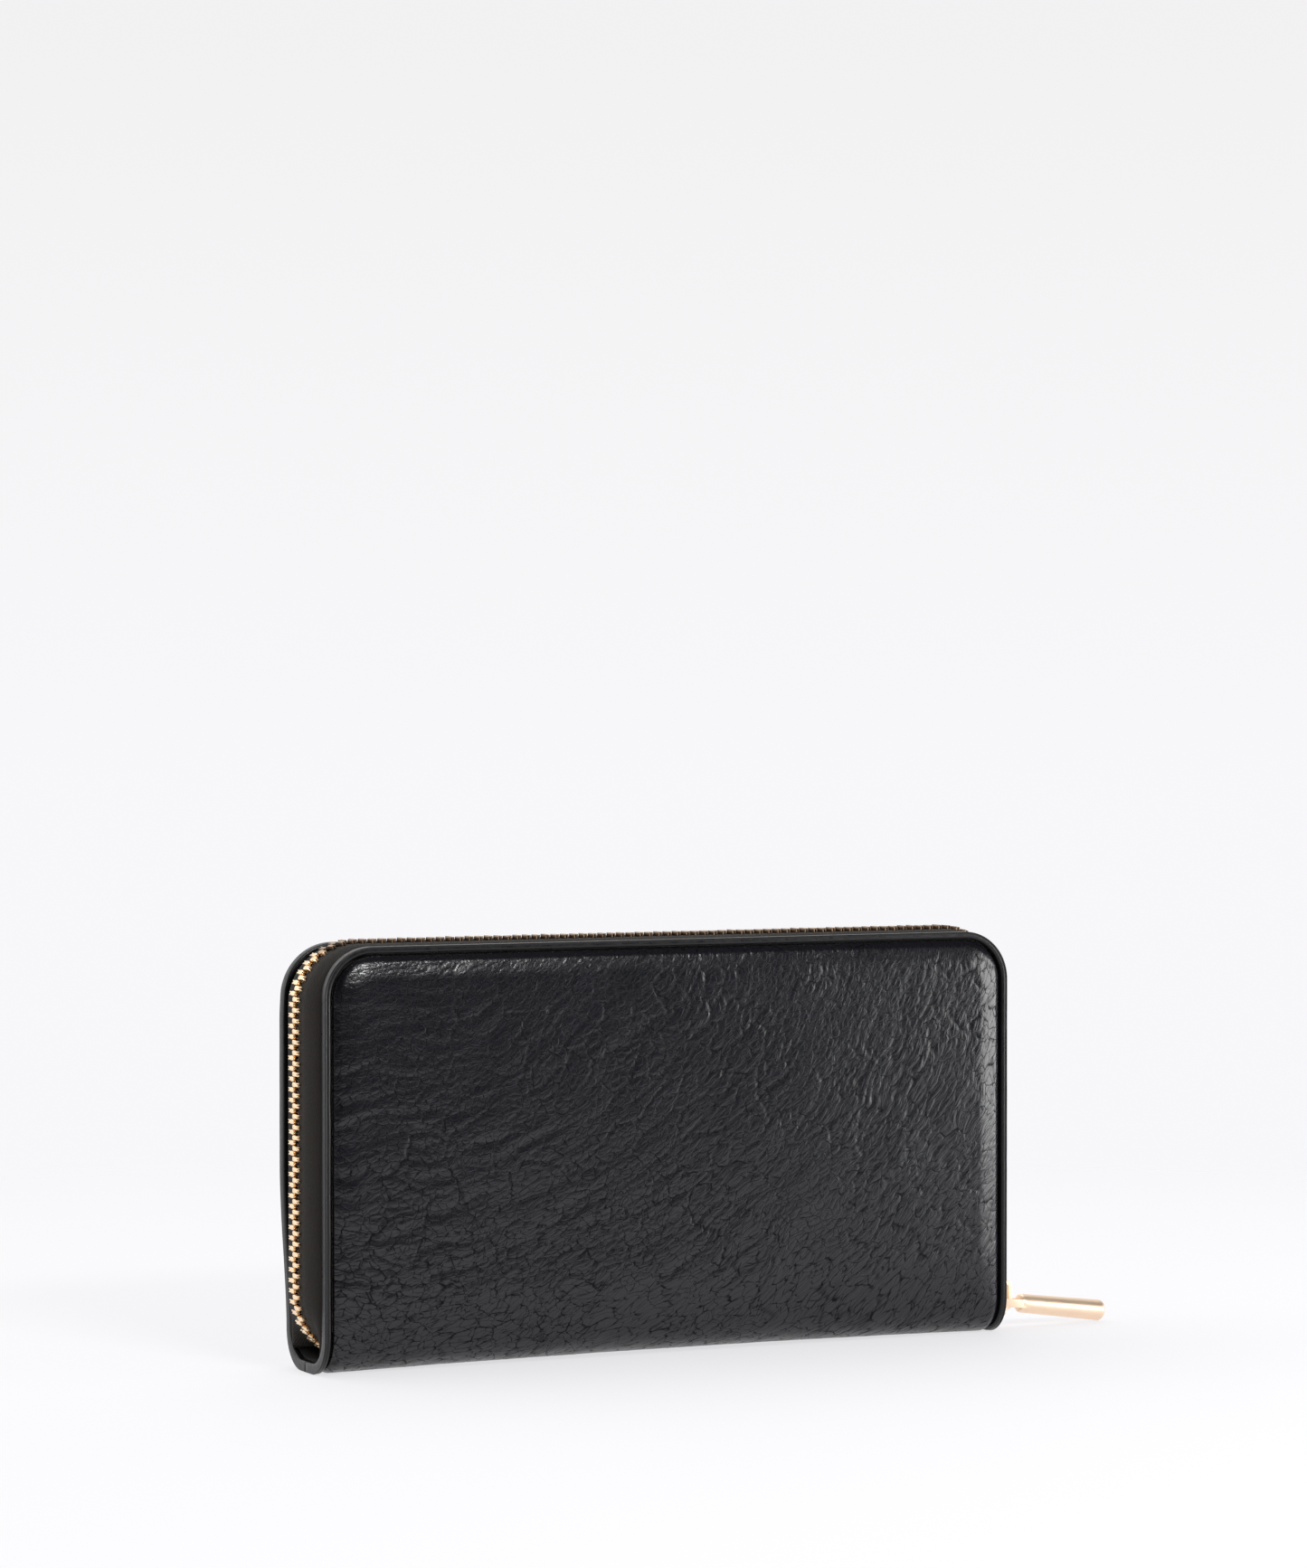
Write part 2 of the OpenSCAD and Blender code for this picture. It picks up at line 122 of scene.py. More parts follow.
def noise(a, b, seed):
    """Smooth noise from -1 to 1, one lump per unit."""
    a, b = np.asarray(a, float), np.asarray(b, float)
    i, j = np.floor(a), np.floor(b)
    fa, fb = a - i, b - j
    fa, fb = fa * fa * (3 - 2 * fa), fb * fb * (3 - 2 * fb)
    low = hash01(i, j, seed) * (1 - fa) + hash01(i + 1, j, seed) * fa
    high = hash01(i, j + 1, seed) * (1 - fa) + hash01(i + 1, j + 1, seed) * fa
    return 2 * (low * (1 - fb) + high * fb) - 1


def cells(a, b, seed):
    """How far each point is from the border between two cells, and its cell's own random number."""
    i, j = np.floor(a), np.floor(b)
    first, second, tone = np.full(a.shape, 9.0), np.full(a.shape, 9.0), np.zeros(a.shape)
    for di in (-1, 0, 1):
        for dj in (-1, 0, 1):
            ci, cj = i + di, j + dj
            px = ci + 0.1 + 0.8 * hash01(ci, cj, seed)
            py = cj + 0.1 + 0.8 * hash01(ci, cj, seed + 1)
            away = np.hypot(px - a, py - b)
            near = away < first
            second = np.where(near, first, np.minimum(second, away))
            tone = np.where(near, hash01(ci, cj, seed + 2), tone)
            first = np.where(near, away, first)
    return second - first, tone


# ---- Meshes ----

def make(name, verts, faces, mat, attributes=None):
    """A mesh object from points in millimetres. attributes are numbers or vectors for its points."""
    mesh = bpy.data.meshes.new(name)
    mesh.from_pydata((np.asarray(verts, float) * MM).tolist(), [], faces)
    bm = bmesh.new()
    bm.from_mesh(mesh)
    bmesh.ops.recalc_face_normals(bm, faces=bm.faces)
    bm.to_mesh(mesh)
    bm.free()
    for key, values in (attributes or {}).items():
        values = np.asarray(values, np.float32)
        kind = "FLOAT" if values.ndim == 1 else "FLOAT_VECTOR"
        layer = mesh.attributes.new(key, kind, "POINT")
        layer.data.foreach_set("value" if values.ndim == 1 else "vector", values.ravel())
    mesh.polygons.foreach_set("use_smooth", np.full(len(mesh.polygons), True))
    mesh.materials.append(mat)
    obj = bpy.data.objects.new(name, mesh)
    bpy.context.scene.collection.objects.link(obj)
    return obj


def grid_faces(rows, cols, wrap=False, start=0):
    """Quads of a grid of points. wrap joins the last column to the first."""
    n = cols if wrap else cols - 1
    r, c = np.meshgrid(np.arange(rows - 1), np.arange(n), indexing="ij")
    d = (c + 1) % cols
    quads = np.stack([r * cols + c, r * cols + d, (r + 1) * cols + d, (r + 1) * cols + c], -1)
    return (quads.reshape(-1, 4) + start).tolist()


def tube_faces(rows, cols):
    """Faces of a closed tube: rows of cols points, and a cap at each end."""
    last = (rows - 1) * cols
    return grid_faces(rows, cols, wrap=True) + [list(range(cols))[::-1], list(range(last, last + cols))]


def rim_loop(rows, cols):
    """The points round the rim of a grid, in order."""
    index = np.arange(rows * cols).reshape(rows, cols)
    return np.concatenate([index[0, :], index[1:, -1], index[-1, -2::-1], index[-2:0:-1, 0]])


def slab_faces(rows, cols):
    """Faces of two grids of points that face away from each other, joined along their rim."""
    n = rows * cols
    ring = rim_loop(rows, cols)
    after = np.roll(ring, -1)
    walls = np.stack([ring, after, after + n, ring + n], -1).tolist()
    return grid_faces(rows, cols) + grid_faces(rows, cols, start=n) + walls


def points(x, y, z):
    """A grid of points from three arrays that spread over each other."""
    return np.stack(np.broadcast_arrays(x, y, z), -1)


def flat_map(u, v):
    """Flat coordinates for a weave or grain, in millimetres."""
    return points(u, v, 0.0).reshape(-1, 3)


def slab(name, face, back, flat, mat):
    """A thin sheet between two grids of points, with the same flat coordinates on both."""
    verts = np.concatenate([face.reshape(-1, 3), back.reshape(-1, 3)])
    return make(name, verts, slab_faces(*face.shape[:2]), mat, {"flat": np.concatenate([flat, flat])})


def profile_sides(line):
    """Unit normals of a flat line of points, and the length run so far at each."""
    tangent = np.gradient(line, axis=0)
    normal = np.stack([-tangent[:, 1], tangent[:, 0]], -1)
    normal /= np.linalg.norm(normal, axis=1, keepdims=True)
    steps = np.linalg.norm(np.diff(line, axis=0), axis=1)
    return normal, np.concatenate([[0], np.cumsum(steps)])


def sharpen(obj, angle):
    """Smooth shading that keeps edges sharper than the angle."""
    obj.data.set_sharp_from_angle(angle=math.radians(angle))
    return obj


def shell_point(x, s, d):
    """A point of the front half of the shell.

    x runs across, s along the outer face from the spine's middle, and d in from that face.
    """
    x, s, d = np.broadcast_arrays(np.asarray(x, float), np.asarray(s, float), np.asarray(d, float))
    turn = np.clip((s - FLAT) / SPINE_R, 0, math.pi / 2)
    y = -(np.minimum(s, FLAT) + (SPINE_R - d) * np.sin(turn))
    z = SPINE_R - (SPINE_R - d) * np.cos(turn) + np.maximum(s - FOLD_S, 0)
    return np.stack([x, y, z], -1)


def edge_distance(x, s, inset):
    """How far a point of the flat pattern lies inside the cover's outline, less inset."""
    qx = np.abs(x) - (HALF_W - CORNER_R)
    qs = s - (TOP_S - CORNER_R)
    straight = CORNER_R - np.maximum(qx, qs)
    return np.where((qx > 0) & (qs > 0), CORNER_R - np.hypot(qx, qs), straight) - inset


def place(obj, side):
    """Mirrors a piece of the front half to the back half where side is 1."""
    if side > 0:
        co = np.array([v.co for v in obj.data.vertices])
        co[:, 1] *= -1
        obj.data.vertices.foreach_set("co", co.ravel())
        obj.data.flip_normals()
        obj.data.update()
    return obj


def bow(obj, side):
    """The back cover's left edge stands out a little at mid height, as on the well-used original."""
    if side > 0:
        co = np.array([v.co for v in obj.data.vertices])
        z = co[:, 2] / MM
        out = smooth(z, 8, 50) * (1 - 0.5 * smooth(z, 85, COVER_H)) * smooth(-co[:, 0] / MM, 60, HALF_W)
        co[:, 0] -= 1.75 * MM * out
        obj.data.vertices.foreach_set("co", co.ravel())
        obj.data.update()
    return obj


def pattern_grid(low, inset, turns, cols):
    """Grid over a cover's flat pattern, inset from its edge: x across, s up from the spine's middle."""
    half, top, r = HALF_W - inset, TOP_S - inset, CORNER_R - inset
    turn = np.linspace(0, math.pi / 2, turns)
    rows = np.concatenate([low, top - r + r * np.sin(turn)])
    widths = np.concatenate([np.full(len(low), half), half - r + r * np.cos(turn)])
    return np.linspace(-1, 1, cols)[None, :] * widths[:, None], np.repeat(rows[:, None], cols, 1)


def fold(obj):
    """obj with its transform applied to its points."""
    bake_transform(obj)


def stands_for(obj, slot, *nodes):
    """obj takes the place of CAD nodes, which are hidden; slot is not used."""
    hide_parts(*nodes)
    return obj


# ---- Materials ----

def add_node(tree, kind, props=None, **inputs):
    """A node. Inputs are values or other nodes' sockets, by name or i0, i1... by place."""
    node = tree.nodes.new(kind)
    for key, value in (props or {}).items():
        setattr(node, key, value)
    for key, value in inputs.items():
        socket = node.inputs[int(key[1:])] if key[0] == "i" and key[1:].isdigit() else node.inputs[key]
        if isinstance(value, bpy.types.NodeSocket):
            tree.links.new(value, socket)
        else:
            socket.default_value = value
    return node


class Shader:
    """A material with a Principled shader, built node by node. Sockets are named with _ for spaces."""

    def __init__(self, name, color, roughness, **sockets):
        self.mat = bpy.data.materials.new(name)
        self.mat.use_nodes = True
        self.tree = self.mat.node_tree
        self.add = functools.partial(add_node, self.tree)
        self.bsdf = self.tree.nodes["Principled BSDF"]
        self.bsdf.inputs["Base Color"].default_value = (*color, 1)
        self.bsdf.inputs["Roughness"].default_value = roughness
        for key, value in sockets.items():
            self.bsdf.inputs[key.replace("_", " ")].default_value = value

    def math(self, operation, a, b=0.0, c=0.0):
        """One step of arithmetic on sockets or numbers."""
        return self.add("ShaderNodeMath", {"operation": operation}, i0=a, i1=b, i2=c).outputs[0]

    def remap(self, value, low, high, to_low=0.0, to_high=1.0):
        """value eased from the range low..high to to_low..to_high."""
        props = {"interpolation_type": "SMOOTHSTEP"}
        node = self.add("ShaderNodeMapRange", props, i0=value, i1=low, i2=high, i3=to_low, i4=to_high)
        return node.outputs[0]

    def attribute(self, name, output="Vector"):
        """A layer of numbers or vectors that the mesh carries."""
        return self.add("ShaderNodeAttribute", {"attribute_name": name}).outputs[output]

    def position(self):
        """The point's place, in metres."""
        return self.add("ShaderNodeTexCoord").outputs["Object"]

    def scaled(self, vector, scale):
        """vector times scale, axis by axis."""
        return self.add("ShaderNodeVectorMath", {"operation": "MULTIPLY"}, i0=vector, i1=scale).outputs[0]

    def noise(self, vector, scale, detail):
        """Cloudy noise from 0 to 1."""
        node = self.add("ShaderNodeTexNoise", Vector=vector, Scale=scale, Detail=detail, Roughness=0.55)
        return node.outputs[0]

    def edges(self, vector, scale):
        """How far a point is from the border between two cells."""
        props = {"voronoi_dimensions": "2D", "feature": "DISTANCE_TO_EDGE"}
        return self.add("ShaderNodeTexVoronoi", props, Vector=vector, Scale=scale).outputs["Distance"]

    def mix(self, factor, a, b):
        """A colour between a and b."""
        node = self.add("ShaderNodeMix", {"data_type": "RGBA"}, i0=factor, i6=(*a, 1), i7=(*b, 1))
        return node.outputs[2]

    def drive(self, name, socket):
        """Feeds an input of the surface's shader."""
        self.tree.links.new(socket, self.bsdf.inputs[name])

    def color(self, factor, a, b):
        """The surface's colour, between a and b."""
        self.drive("Base Color", self.mix(factor, a, b))

    def rough(self, socket):
        """The surface's roughness."""
        self.drive("Roughness", socket)

    def bump(self, height, depth, strength):
        """A relief that isn't in the mesh, depth millimetres high."""
        node = self.add("ShaderNodeBump", Strength=strength, Distance=depth * MM, Height=height)
        self.drive("Normal", node.outputs[0])


def hide_material():
    """Full-grain leather: cells that follow the grain's flow, pores, and painted shade in the creases
    between them, which darkens and dulls them.
    """
    m = Shader("grain_leather", (0.004, 0.004, 0.007), 0.3)
    flow = m.attribute("flow")
    crease = m.attribute("crease", "Fac")
    drift = m.add("ShaderNodeTexNoise", Vector=flow, Scale=0.9, Detail=2.0).outputs["Color"]
    bend = {"operation": "MULTIPLY_ADD"}
    warped = m.add("ShaderNodeVectorMath", bend, i0=drift, i1=(0.7, 0.7, 0), i2=flow).outputs[0]
    small = m.edges(m.scaled(warped, (0.32, 0.80, 1)), 1.0)
    large = m.edges(m.scaled(warped, (0.18, 0.44, 1)), 1.0)
    net, pillow, lines = m.remap(small, 0.0, 0.09), m.remap(small, 0.0, 0.26), m.remap(large, 0.0, 0.06)
    pores = m.noise(flow, 3.5, 2.0)
    height = m.math("MULTIPLY_ADD", lines, 0.7, m.math("MULTIPLY_ADD", pores, 0.2, pillow))
    m.bump(height, 0.012, 1.0)
    # painted shade: the cells' borders and the mesh's creases get a darker colour, a weaker reflection and
    # more roughness
    crack_shade = m.math("MULTIPLY_ADD", net, -0.5, m.math("MULTIPLY_ADD", lines, -0.5, 1.0))
    patches = m.noise(m.scaled(flow, (0.05, 0.05, 1)), 1.0, 2.0)
    crease_shade = m.math("ADD", crack_shade, m.math("MULTIPLY", crease, 0.5))
    # the colour is random patches of tone, less the painted shade of borders and creases
    tone = m.math("SUBTRACT", m.remap(patches, 0.3, 0.7, 0.75, 1.0), crease_shade)
    m.color(tone, (0.001, 0.001, 0.002), (0.0045, 0.0045, 0.0080))
    m.drive("Specular IOR Level", m.remap(crease_shade, 0.1, 0.85, 0.58, 0.10))
    m.rough(m.math("MULTIPLY_ADD", crease_shade, 0.25, m.remap(pores, 0.3, 0.7, 0.18, 0.25)))
    return m.mat


def binding_material():
    """Smooth turned leather with a slightly glossy finish."""
    m = Shader("binding_leather", (0.006, 0.006, 0.007), 0.34, Specular_IOR_Level=0.35)
    pos = m.position()
    fine = m.noise(pos, 900.0, 4.0)
    waves = m.noise(pos, 220.0, 2.0)
    m.bump(m.math("ADD", fine, waves), 0.03, 0.6)
    m.color(waves, (0.003, 0.003, 0.004), (0.007, 0.007, 0.008))
    m.rough(m.remap(fine, 0.3, 0.7, 0.27, 0.40))
    return m.mat


def twill_material(name, dark, light, rib):
    """Woven tape or cloth: diagonal ribs crossed by single threads, laid out on the attribute flat, with
    painted shade in the weave's hollows.
    """
    m = Shader(name, dark, 0.8, Specular_IOR_Level=0.2, Sheen_Weight=0.03)
    flat = m.attribute("flat")
    parts = m.add("ShaderNodeSeparateXYZ", i0=flat)
    a, b = parts.outputs[0], parts.outputs[1]
    diagonal = m.math("ADD", a, b)
    turn = 2 * math.pi / rib
    ribs = m.math("MULTIPLY_ADD", m.math("SINE", m.math("MULTIPLY", diagonal, turn)), 0.5, 0.5)
    across = m.math("SUBTRACT", a, m.math("MULTIPLY", b, 0.6))
    threads = m.math("MULTIPLY_ADD", m.math("SINE", m.math("MULTIPLY", across, turn * 1.9)), 0.5, 0.5)
    height = m.math("MULTIPLY_ADD", ribs, 0.7, m.math("MULTIPLY", threads, 0.4))
    fuzz = m.noise(flat, 2.5, 4.0)
    m.bump(m.math("MULTIPLY_ADD", fuzz, 0.3, height), 0.12, 0.9)
    # painted shade: the colour is darker in the hollows between ribs and threads, with random fuzz in the
    # tone
    fuzzy_rib_shade = m.math("MULTIPLY_ADD", fuzz, 0.8, ribs)
    shade = m.math("MULTIPLY", fuzzy_rib_shade, m.math("MULTIPLY_ADD", threads, 0.5, 0.2))
    m.color(shade, dark, light)
    m.rough(m.remap(fuzz, 0.3, 0.7, 0.7, 0.9))
    return m.mat


def metal_material(name, color, tarnish, roughness):
    """Plated metal with faint brushing and handling marks of a darker tone."""
    m = Shader(name, color, roughness, Metallic=1.0)
    pos = m.position()
    brushed = m.noise(m.scaled(pos, (1500.0, 6000.0, 6000.0)), 1.0, 3.0)
    marks = m.noise(pos, 300.0, 4.0)
    m.color(m.remap(marks, 0.4, 0.8), color, tarnish)
    m.rough(m.remap(brushed, 0.3, 0.7, roughness * 0.9, roughness * 1.15))
    m.bump(brushed, 0.0015, 0.3)
    return m.mat


def teeth_material(crown, flank_shade):
    """Plated teeth, bright where the attribute rise is 1 and darkened by painted shade elsewhere."""
    m = Shader("gilt_teeth", crown, 0.24, Metallic=1.0)
    marks = m.noise(m.position(), 500.0, 3.0)
    bright = m.remap(m.math("MULTIPLY_ADD", marks, 0.06, m.attribute("rise", "Fac")), 0.89, 0.98)
    # painted shade: below their crowns the teeth take a dark brown colour
    m.color(bright, flank_shade, crown)
    m.rough(m.math("MULTIPLY_ADD", bright, -0.2, m.remap(marks, 0.3, 0.7, 0.40, 0.50)))
    m.bump(marks, 0.006, 0.4)
    return m.mat


def pocket_material():
    """Thin fine-grained leather of the inside."""
    m = Shader("pocket_leather", (0.012, 0.012, 0.013), 0.5)
    flat = m.attribute("flat")
    cell = m.remap(m.edges(flat, 1.3), 0.0, 0.2)
    pores = m.noise(flat, 3.0, 3.0)
    m.bump(m.math("MULTIPLY_ADD", pores, 0.4, cell), 0.06, 0.7)
    m.color(m.math("MULTIPLY", cell, pores), (0.012, 0.012, 0.013), (0.028, 0.028, 0.03))
    m.rough(m.remap(pores, 0.3, 0.7, 0.44, 0.58))
    return m.mat


def board_material():
    """Grey pressed card with loose fibres."""
    m = Shader("pressed_board", (0.32, 0.27, 0.2), 0.9)
    pos = m.position()
    fibres = m.noise(m.scaled(pos, (300.0, 300.0, 1500.0)), 1.0, 5.0)
    m.color(fibres, (0.2, 0.17, 0.13), (0.45, 0.38, 0.3))
    m.rough(m.remap(fibres, 0.2, 0.8, 0.8, 0.95))
    m.bump(fibres, 0.08, 0.5)
    return m.mat


def thread_material():
    """Twisted thread of the inside seams."""
    m = Shader("seam_thread", (0.03, 0.03, 0.032), 0.7)
    twist = m.noise(m.position(), 2500.0, 2.0)
    m.color(twist, (0.018, 0.018, 0.02), (0.05, 0.05, 0.052))
    m.rough(m.remap(twist, 0.3, 0.7, 0.6, 0.8))
    m.bump(twist, 0.05, 0.6)
    return m.mat


# ---- Outer leather ----

HIDE_INSET = 2.35
GRAIN_STEP = 0.48
PAD_H = 1.3


def grain(x, s):
    """Height of the grain in millimetres, how deep in a crease each point lies, and the grain's flow."""
    h = s - FLAT - SPINE_R
    cx, cz = x + 97, 165 - h
    along = np.arctan2(cx, cz) * 150
    across = np.hypot(cx, cz)
    for size, amount, seed in ((27, 3.5, 1), (8, 1.1, 2), (2.2, 0.3, 9)):
        across = across + amount * noise(x / size, h / size, seed)
    for size, amount, seed in ((24, 4.0, 3), (6, 1.0, 4), (2.4, 0.4, 10)):
        along = along + amount * noise(x / size, h / size, seed)
    pebble, tone = cells(along / 2.9, across / 1.8, 11)
    long_cells, _ = cells(along / 7.5, across / 2.9, 21)
    fold_cells, _ = cells(along / 16, across / 6.5, 31)
    groove = 1 - smooth(pebble, 0.0, 0.30)
    wrinkle = (1 - smooth(long_cells, 0.0, 0.17)) * smooth(noise(x / 13, h / 13, 5), -0.8, 0.3)
    crease = (1 - smooth(fold_cells, 0.0, 0.09)) * smooth(noise(x / 19, h / 19, 6), -0.4, 0.6)
    height = -0.04 * groove - 0.08 * wrinkle - 0.09 * crease + 0.01 * (tone - 0.5) * smooth(pebble, 0, 0.5)
    height = height + 0.05 * noise(x / 9, h / 9, 7) + 0.12 * noise(x / 30, h / 30, 8)
    ridges = noise(along / 12, across / 2.3, 12) * (1 - 0.7 * smooth(x + h, -30, 90))
    height = height + 0.09 * ridges
    deep = np.clip(0.35 * groove + 0.85 * wrinkle + 0.95 * crease, 0, 1)
    return height, deep, points(along, across, 0.0)


def hide_back(rows, cols, ring):
    """Walls under the rim of a grid, and wide faces from side to side that close its back."""
    count = rows * cols
    low = count + np.arange(len(ring))
    walls = np.stack([ring, np.roll(ring, -1), np.roll(low, -1), low], -1).tolist()
    below = dict(zip(ring.tolist(), low.tolist()))
    index = np.arange(count).reshape(rows, cols)
    left, right = ([below[v] for v in index[:, c].tolist()] for c in (0, -1))
    bottom, upper = ([below[v] for v in index[r].tolist()] for r in (0, -1))
    inner = [[left[j], right[j], right[j + 1], left[j + 1]] for j in range(1, rows - 2)]
    return walls + inner + [[*bottom, right[1], left[1]], [left[-2], right[-2], *upper[::-1]]]


def hide(side, mat):
    """Half of the outer leather, from the spine's middle to a cover's top, padded and low at its edge."""
    cols = int(2 * (HALF_W - HIDE_INSET) / GRAIN_STEP) + 1
    x, s = pattern_grid(np.arange(0, TOP_S - CORNER_R, GRAIN_STEP), HIDE_INSET, 31, cols)
    height, deep, flow = grain(x if side < 0 else -x + 37, s if side < 0 else s + 11)
    inside = edge_distance(x, s, HIDE_INSET)
    shoulder = 1 - smooth(inside, -0.4, 2.0)
    pad = PAD_H * smooth(inside, -1.5, 6.5) * smooth(s, 12, 30)
    relief = height * (0.35 + 0.65 * smooth(s, 2, 15)) * (1 - 0.3 * shoulder)
    outer = shell_point(x, s, 0.05 + 0.78 * shoulder ** 1.4 - pad - relief)
    arch = 0.8 * (1 - (x / HALF_W) ** 2) * (1 - smooth(s, 7, 20))
    outer[..., 2] = np.maximum(outer[..., 2] + arch, 0.02)
    ring = rim_loop(*x.shape)
    under = shell_point(x.ravel()[ring], s.ravel()[ring], LEATHER_T - 0.02)
    verts = np.concatenate([outer.reshape(-1, 3), under])
    flow = flow.reshape(-1, 3)
    # crease carries each point's crease depth to the leather's painted shade; the hidden underside gets the
    # full shade
    data = {"flow": np.concatenate([flow, flow[ring]]),
            "crease": np.concatenate([deep.ravel(), np.ones(len(ring))])}
    faces = grid_faces(*x.shape) + hide_back(*x.shape, ring)
    return place(make(label(side) + "_hide", verts, faces, mat, data), side)


# ---- Binding ----

def outline(step):
    """Points along a cover's edge in the flat pattern, with inward directions and the length so far."""
    straight = TOP_S - CORNER_R
    cx = HALF_W - CORNER_R
    ups = np.linspace(0, straight, int(straight / step))
    turn = np.linspace(0, math.pi / 2, 25)[1:]
    across = np.linspace(-cx, cx, int(2 * cx / step))[1:]
    left = [(-HALF_W, s, 1, 0) for s in ups]
    for c, sn in zip(np.cos(turn).tolist(), np.sin(turn).tolist()):
        left.append((-cx - CORNER_R * c, straight + CORNER_R * sn, c, -sn))
    top = [(x, TOP_S, 0, -1) for x in across]
    right = [(-x, s, -nx, ns) for x, s, nx, ns in left[::-1]][1:]
    p = np.array(left + top + right)
    length = np.concatenate([[0], np.cumsum(np.hypot(*np.diff(p[:, :2], axis=0).T))])
    return p[:, :2], p[:, 2:], length


def binding(side, mat):
    """The strip that binds a cover and half of each spine end, raised outside and rounded inside."""
    section = np.array([
        (0.0, 0.45), (0.0, 0.2), (0.06, 0.03), (0.18, -0.05), (0.32, -0.03), (0.42, 0.05), (0.55, 0.09),
        (0.8, 0.04), (1.1, 0.04), (1.35, 0.1), (1.55, 0.28), (1.7, 0.6), (1.76, 1.1), (1.78, 1.8),
        (1.76, 2.4), (1.6, 2.66), (1.3, 2.7), (0.5, 2.7), (0.2, 2.64), (0.03, 2.4), (0.0, 1.5),
    ])
    edge, inward, length = outline(1.1)
    w, d = section[:, 0][None, :], section[:, 1][None, :]
    wobble = 0.05 * noise(length / 7, length * 0, 41)[:, None] * (w > 0.6)
    x = edge[:, :1] + inward[:, :1] * (w + wobble)
    s = edge[:, 1:] + inward[:, 1:] * (w + wobble)
    verts = shell_point(x, np.maximum(s, 0), d + 0.03 * noise(length / 4, length * 0 + 3, 42)[:, None])
    verts[..., 2] = np.maximum(verts[..., 2], 0.0)
    faces = tube_faces(len(edge), len(section))
    return place(make(label(side) + "_edge_binding", verts.reshape(-1, 3), faces, mat), side)


# ---- Lining ----

def lining(side, mat):
    """Half of the lining, from the spine's middle to a cover's top."""
    low = np.concatenate([np.linspace(0, 24, 33), np.linspace(27, TOP_S - CORNER_R, 24)[:-1]])
    x, s = pattern_grid(low, 1.9, 13, 61)
    outer = shell_point(x, s, SHELL_T - 0.68)
    inner = shell_point(x, s, SHELL_T - 0.03 + 0.04 * noise(x / 14, s / 14, 51))
    return place(slab(label(side) + "_cover_lining", outer, inner, flat_map(x, s), mat), side)


# ---- Zip ----

def zip_frame(t):
    """Points on the zip's path at lengths t from its top's middle, with outward and forward directions."""
    t = np.asarray(t, float)
    a, sign = np.abs(t), np.where(t < 0, -1.0, 1.0)
    turn = np.clip((a - ZIP_CX) / ZIP_R, 0, math.pi / 2)
    down = np.maximum(a - ZIP_CX - CORNER_L, 0)
    curl = np.where(t < 0, np.maximum(a - HALF_RUN, 0) / END_R, 0)
    straight = np.where(t < 0, np.minimum(down, ZIP_CZ - SIDE_Z), down)
    x = np.minimum(a, ZIP_CX) + ZIP_R * np.sin(turn) - END_R * (1 - np.cos(curl))
    z = ZIP_CZ + ZIP_R * np.cos(turn) - straight - END_R * np.sin(curl)
    angle = turn + curl
    out = points(sign * np.sin(angle), 0.0, np.cos(angle))
    ahead = points(sign * np.cos(angle), 0.0, -np.sin(angle))
    return points(sign * x, 0.0, z), out, ahead


def inner_limit(z):
    """How far from the middle a soft piece may reach inside the shell at a height."""
    r = SPINE_R - SHELL_T
    sine = np.sqrt(np.clip(1 - ((SPINE_R - z) / r) ** 2, 0, 1))
    return np.where(z < SPINE_R, FLAT + r * sine, INNER_Y)


def zip_tape(side, mat):
    """The woven tape from the teeth to its seam inside a cover, with both its ends."""
    t = np.concatenate([
        np.linspace(-HALF_RUN - LEFT_END - 0.6, -HALF_RUN, 21)[:-1],
        np.linspace(-HALF_RUN, HALF_RUN, 260)[:-1],
        np.linspace(HALF_RUN, HALF_RUN + RIGHT_TAPE_END, 14)])
    v = np.array([1.3, 1.5, 2.0, 3.0, 4.0, 4.8, 5.4, 6.1, 6.9, 7.7, 8.5, 9.2, 9.7, 9.98, 10.03, 10.03])
    u = np.array([0, 0, 0, 0, 0, -0.02, -0.1, -0.32, -0.68, -1.12, -1.66, -2.25, -2.8, -3.4, -4.2, -5.8])
    path, out, _ = zip_frame(t)
    straight, straight_out = path.copy(), out.copy()
    past = np.maximum(np.abs(t) - HALF_RUN, 0)
    left = t < -HALF_RUN
    straight[left] = points(-ZIP_X, 0.0, SIDE_Z - 0.8 * past[left])
    straight_out[left] = (-1, 0, 0)
    share = smooth(v, 5.0, 9.6)[None, :, None]
    ripple = 0.10 * noise(t / 9, t * 0, 61)[:, None] * smooth(v, 5.4, 8)[None, :] * (v < 9.7)[None, :]
    rise = (u[None, :] + ripple)[..., None]
    near = path[:, None, :] + out[:, None, :] * rise
    far = straight[:, None, :] + straight_out[:, None, :] * rise
    mid = near * (1 - share) + far * share
    mid[..., 1] = -np.minimum(v[None, :], inner_limit(mid[..., 2]) - 0.28)
    across = np.gradient(mid, axis=1)
    along = np.gradient(mid, axis=0)
    normal = np.cross(along, across)
    normal /= np.linalg.norm(normal, axis=-1, keepdims=True) + 1e-9
    half = TAPE_T / 2 - 0.03
    run = np.cumsum(np.linalg.norm(across, axis=-1), axis=1)
    flat = flat_map(t[:, None], run)
    return place(slab(label(side) + "_tape", mid + normal * half, mid - normal * half, flat, mat), side)


def prism(bm, outline, low, high):
    """A closed prism in bm, from low to high along x, with its outline in y and z."""
    top, base = ([bm.verts.new((x, a, b)) for a, b in outline] for x in (high, low))
    bm.faces.new(top)
    bm.faces.new(base[::-1])
    for k in range(len(outline)):
        n = (k + 1) % len(outline)
        bm.faces.new((top[k], base[k], base[n], top[n]))


def taken(bm):
    """The points and faces of bm, which is freed."""
    bm.verts.index_update()
    verts = np.array([v.co for v in bm.verts])
    faces = [[v.index for v in f.verts] for f in bm.faces]
    bm.free()
    return verts, faces


